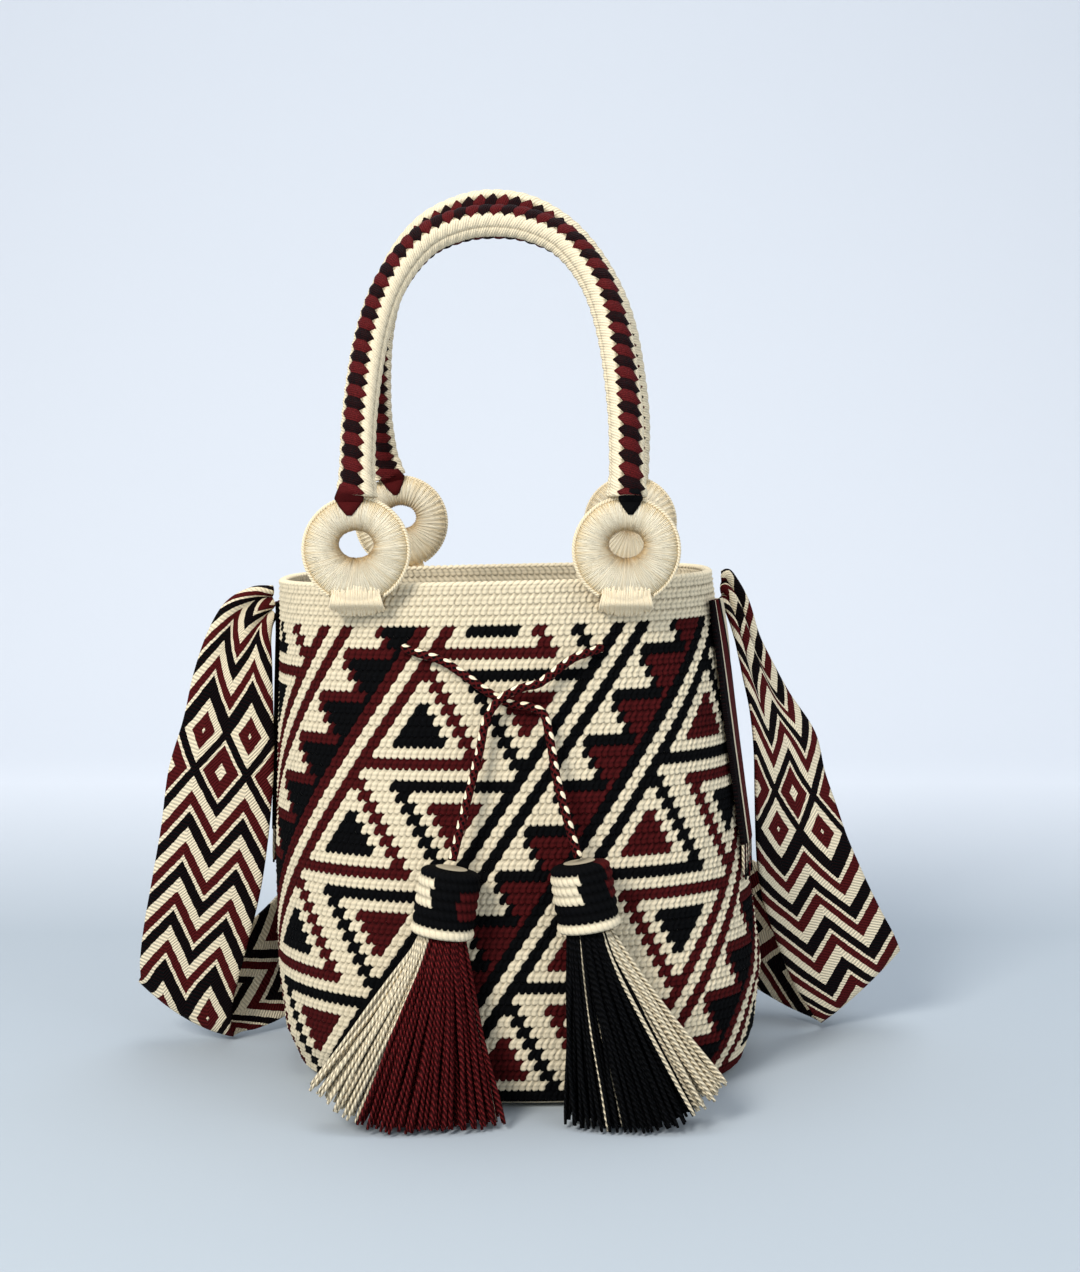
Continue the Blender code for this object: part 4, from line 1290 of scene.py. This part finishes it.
def strap_colours(n, code, cord):
    """Yarn colours from a code, with painted shade in the plied cords' grooves."""
    split = n.new("ShaderNodeSeparateColor")
    n.feed(split.inputs[0], code)
    fibre = n.noise(1800.0, 2.0)
    share = n.remap(fibre, 0.35, 0.7, 0.0, 1.0)
    cream = n.mix(n.remap(fibre, 0.3, 0.7, 0.0, 1.0), shade(CREAM_LIGHT, 0.92), shade(CREAM_LIGHT, 1.08))
    tone = n.mix(split.outputs[1], cream, n.mix(share, BURGUNDY, shade(BURGUNDY, 2.0)))
    tone = n.mix(split.outputs[2], tone, n.mix(share, BLACK, shade(BLACK, 2.2)))
    # painted shade in the grooves between cords
    tone = n.mix(n.remap(cord, -1.0, -0.35, 0.34, 0.0), tone, shade(BURGUNDY, 0.5))
    n.bump(cord + fibre * 0.6, 0.6, 0.0006)
    return n.finish(tone)


def cell_code(n, depth, cream_from, burgundy_from, centre_from):
    """Colour code inside a diamond by depth from its border: black, cream, burgundy and a cream centre."""
    code = n.mix(depth > cream_from, AS_BLACK, AS_CREAM)
    code = n.mix(depth > burgundy_from, code, AS_BURGUNDY)
    return n.mix(depth > centre_from, code, AS_CREAM)


def strap_material():
    """Woven chevrons with rows of diamonds: U is the share across, V the metres along."""
    n = Nodes("strap_weave")
    q, t = n.uv()
    side = (q * 2.0).fract()
    zig = abs(side * 2.0 - 1.0)
    waver = (n.noise(260.0, 2.0) - 0.5) * 0.0022
    g = n.math("FLOORED_MODULO", t - zig * ZIG + waver - GROUP_AT, GROUP_P)
    h = g + zig * TALL
    # bands after the diamonds: wide cream, burgundy, thin cream, black
    band = ((g - (TALL + EDGE_BLACK)) / BAND_P).fract()
    chevron = n.mix((band > 0.28) * (band < 0.56), AS_CREAM, AS_BURGUNDY)
    chevron = n.mix(band > 0.68, chevron, AS_BLACK)
    border = n.math("MAXIMUM", g < TALL + EDGE_BLACK, g > GROUP_P - EDGE_BLACK)
    chevron = n.mix(border, chevron, AS_BLACK)
    # diamonds
    upper = h < TALL
    d_up = n.math("MINIMUM", g, TALL - h)
    d_low = n.math("MINIMUM", h - TALL, TALL - g)
    depth = (upper * d_up + (1.0 - upper) * d_low) / ZIG
    cells = n.mix(upper, cell_code(n, depth, 0.17, 0.3, 0.78), cell_code(n, depth, 0.17, 0.5, 0.93))
    code = n.mix(g < TALL, chevron, cells)
    # cords lie at a slant, the other way in the neighbouring half of each zigzag
    lean = abs(side - 0.5) * (TALL * 0.45) + q * 0.03
    return strap_colours(n, code, ((t + lean) / 0.0024).wave())


def tail_material():
    """Where the strap ends in its tails the colours run lengthwise."""
    n = Nodes("strap_tail_weave")
    q, t = n.uv()
    code = AS_BLACK
    for start, colour in ((0.1, AS_CREAM), (0.14, AS_BURGUNDY), (0.44, AS_BLACK), (0.6, AS_CREAM),
                          (0.66, AS_BURGUNDY), (0.74, AS_CREAM), (0.92, AS_BLACK)):
        code = n.mix(q > start, code, colour)
    return strap_colours(n, code, (t / 0.0026 + q * 22.0).wave())


STRAP = strap_material()
TAIL = tail_material()


def back_y(x, z):
    mid, half_w, half_d, power = section(z)
    return half_d * (1.0 - min(1.0, abs(x - mid) / half_w) ** power) ** (1.0 / power)


def pushed_out(point):
    """A point behind the bag, moved straight out until it clears the wall."""
    mid, half_w, half_d, power = section(point[2])
    depth = (abs((point[0] - mid) / half_w) ** power + abs(point[1] / half_d) ** power) ** (1.0 / power)
    least = 1.0 + STRAP_CLEAR / half_d
    if point[1] < 0.05 or depth >= least:
        return point
    grow = least / depth
    return np.array([mid + (point[0] - mid) * grow, point[1] * grow, point[2]])


def strap_rows(per_span, cols):
    pairs = [a + b for a, b in STRAP_LEFT]
    for (ox, oz), (ix, iz) in STRAP_BACK:
        pairs.append((ox, back_y(ox, oz) + STRAP_CLEAR, oz, ix, back_y(ix, iz) + STRAP_CLEAR, iz))
    pairs += [a + b for a, b in STRAP_RIGHT]
    rows = []
    for i, pair in enumerate(smooth(pairs, per_span)):
        outer, inner = pair[:3], pair[3:]
        sag = sum(deep * math.exp(-((i / per_span - at) / SAG_SPREAD) ** 2)
                  for at, deep in STRAP_SAGS.items())
        row = []
        for k in range(cols):
            q = k / (cols - 1)
            drop = np.array([0.0, 0.0, 4.0 * q * (1.0 - q) * sag])
            row.append(pushed_out(outer + (inner - outer) * q - drop))
        rows.append(row)
    return np.array(rows)


def ribbon_piece(name, node, rows, material, pleat):
    """A woven ribbon from rows of points, pleated where it is gathered narrow."""
    count, cols = rows.shape[:2]
    edges = [np.concatenate([[0.0], np.cumsum(np.linalg.norm(np.diff(rows[:, k], axis=0), axis=1))])
             for k in (0, cols - 1)]
    q = np.linspace(0.0, 1.0, cols)
    along = edges[0][:, None] * (1 - q) + edges[1][:, None] * q
    run = along / along.max()
    shown = along + SHEAR * q + DRIFT * np.clip((run - 0.4) / 0.3, 0.0, 1.0)
    normal = np.cross(np.gradient(rows, axis=0), np.gradient(rows, axis=1))
    normal /= np.maximum(np.linalg.norm(normal, axis=2), 1e-9)[:, :, None]
    wide = np.linalg.norm(rows[:, -1] - rows[:, 0], axis=1)
    gather = np.clip(1.0 - wide / (STRAP_WIDE * 0.85), 0.0, 1.0)
    wave = pleat * gather[:, None] * np.sin(TAU * 2.5 * q)[None, :]
    verts = rows + normal * wave[:, :, None]
    uv = np.stack([np.broadcast_to(q, along.shape), shown], axis=-1).reshape(-1, 2)
    quads = grid_quads(count, cols)
    piece = make_mesh(name, verts.reshape(-1, 3), quads, [material], uv=uv)
    solid = piece.modifiers.new("thickness", "SOLIDIFY")
    solid.thickness = STRAP_T
    solid.offset = 0.0
    attach(piece, BAG, node)
    return piece, float(along.max())


def tail_rows(sign, front_y, z_top, z_end, cols, steps):
    """A tail hangs on the side wall, gathered at its top and spread towards its end."""
    heights = [z_top, 0.262, 0.24, 0.21, 0.16, 0.13, 0.118]
    widths = [0.02, 0.032, 0.048, 0.06, 0.066, 0.067, 0.067]
    rows = []
    for z in np.linspace(z_top, z_end, steps):
        wide = np.interp(z, heights[::-1], widths[::-1])
        row = []
        for share in np.linspace(0.0, 1.0, cols):
            y = front_y + wide * share
            mid, half_w, half_d, power = section(z)
            x = mid + sign * half_w * (1.0 - (abs(y) / half_d) ** power) ** (1.0 / power)
            angle = math.atan2(y / half_d, (x - mid) / half_w)
            row.append(np.array([x, y, z]) + wall_normal(angle, z) * TAIL_CLEAR)
        rows.append(row)
    return np.array(rows)


def strap():
    piece, long = ribbon_piece("strap_main", "shoulder_strap", strap_rows(8, 25), STRAP, 0.0035)
    for side, (sign, front_y, z_top) in TAILS.items():
        rows = tail_rows(sign, front_y, z_top, 0.14, 21, 60)
        tail, reach = ribbon_piece("strap_tail_ribbon_" + side, "strap_tail_" + side, rows, TAIL, 0.0016)
        lines, slots = [], []
        rng = random.Random(5)
        foot = rows[-1]
        for k in range(FRINGE):
            share = (k + 0.5) / FRINGE * (len(foot) - 1)
            i = min(int(share), len(foot) - 2)
            at = foot[i] + (foot[i + 1] - foot[i]) * (share - i)
            drop = rng.uniform(0.015, 0.022)
            lines.append([at + (0, 0, 0.002), at + (sign * 0.0004, rng.uniform(-.001, .001), -drop * 0.5),
                          at + (sign * rng.uniform(0, 0.001), rng.uniform(-.002, .002), -drop)])
            slots.append((CREAM_I, BURGUNDY_I, BLACK_I)[k % 3])
        fringe = yarn_bundle("strap_fringe_" + side, [smooth(line, 4) for line in lines], 0.0009, slots)
        attach(fringe, BAG)


drawstring()
for ring_name, ring_body in RINGS.items():
    wrapped_ring(ring_name, ring_body)
    lashing(ring_name.replace("ring_", "ring_lashing_"), ring_name)
braided_handle("front_handle", FRONT_HANDLE, FRONT, FRONT_STRIPE)
braided_handle("back_handle", BACK_HANDLE, BACK, BACK_STRIPE)
# name, ring, body, colour, aside, lean in degrees, half width, length on the ring and above it
handle_tip("tip_front_left", "ring_front_left", FRONT, BURGUNDY_I, -0.0032, 0.0, 0.0078, 0.0095, 0.006)
handle_tip("tip_front_right", "ring_front_right", FRONT, BLACK_I, 0.002, 0.0, 0.0064, 0.009, 0.005)
handle_tip("tip_back_left", "ring_back_left", BACK, BURGUNDY_I, 0.001, -12.0, 0.0074, 0.011, 0.005)
handle_tip("tip_back_right", "ring_back_right", BACK, BLACK_I, 0.0, 0.0, 0.0064, 0.008, 0.005)
for tassel, (cap_top, cap_bottom, fan, fan_w, fan_d, lifts) in TASSELS.items():
    tassel_cap(tassel, cap_top, cap_bottom)
    tassel_skirt(tassel, cap_bottom, fan, fan_w, fan_d, lifts)
strap()
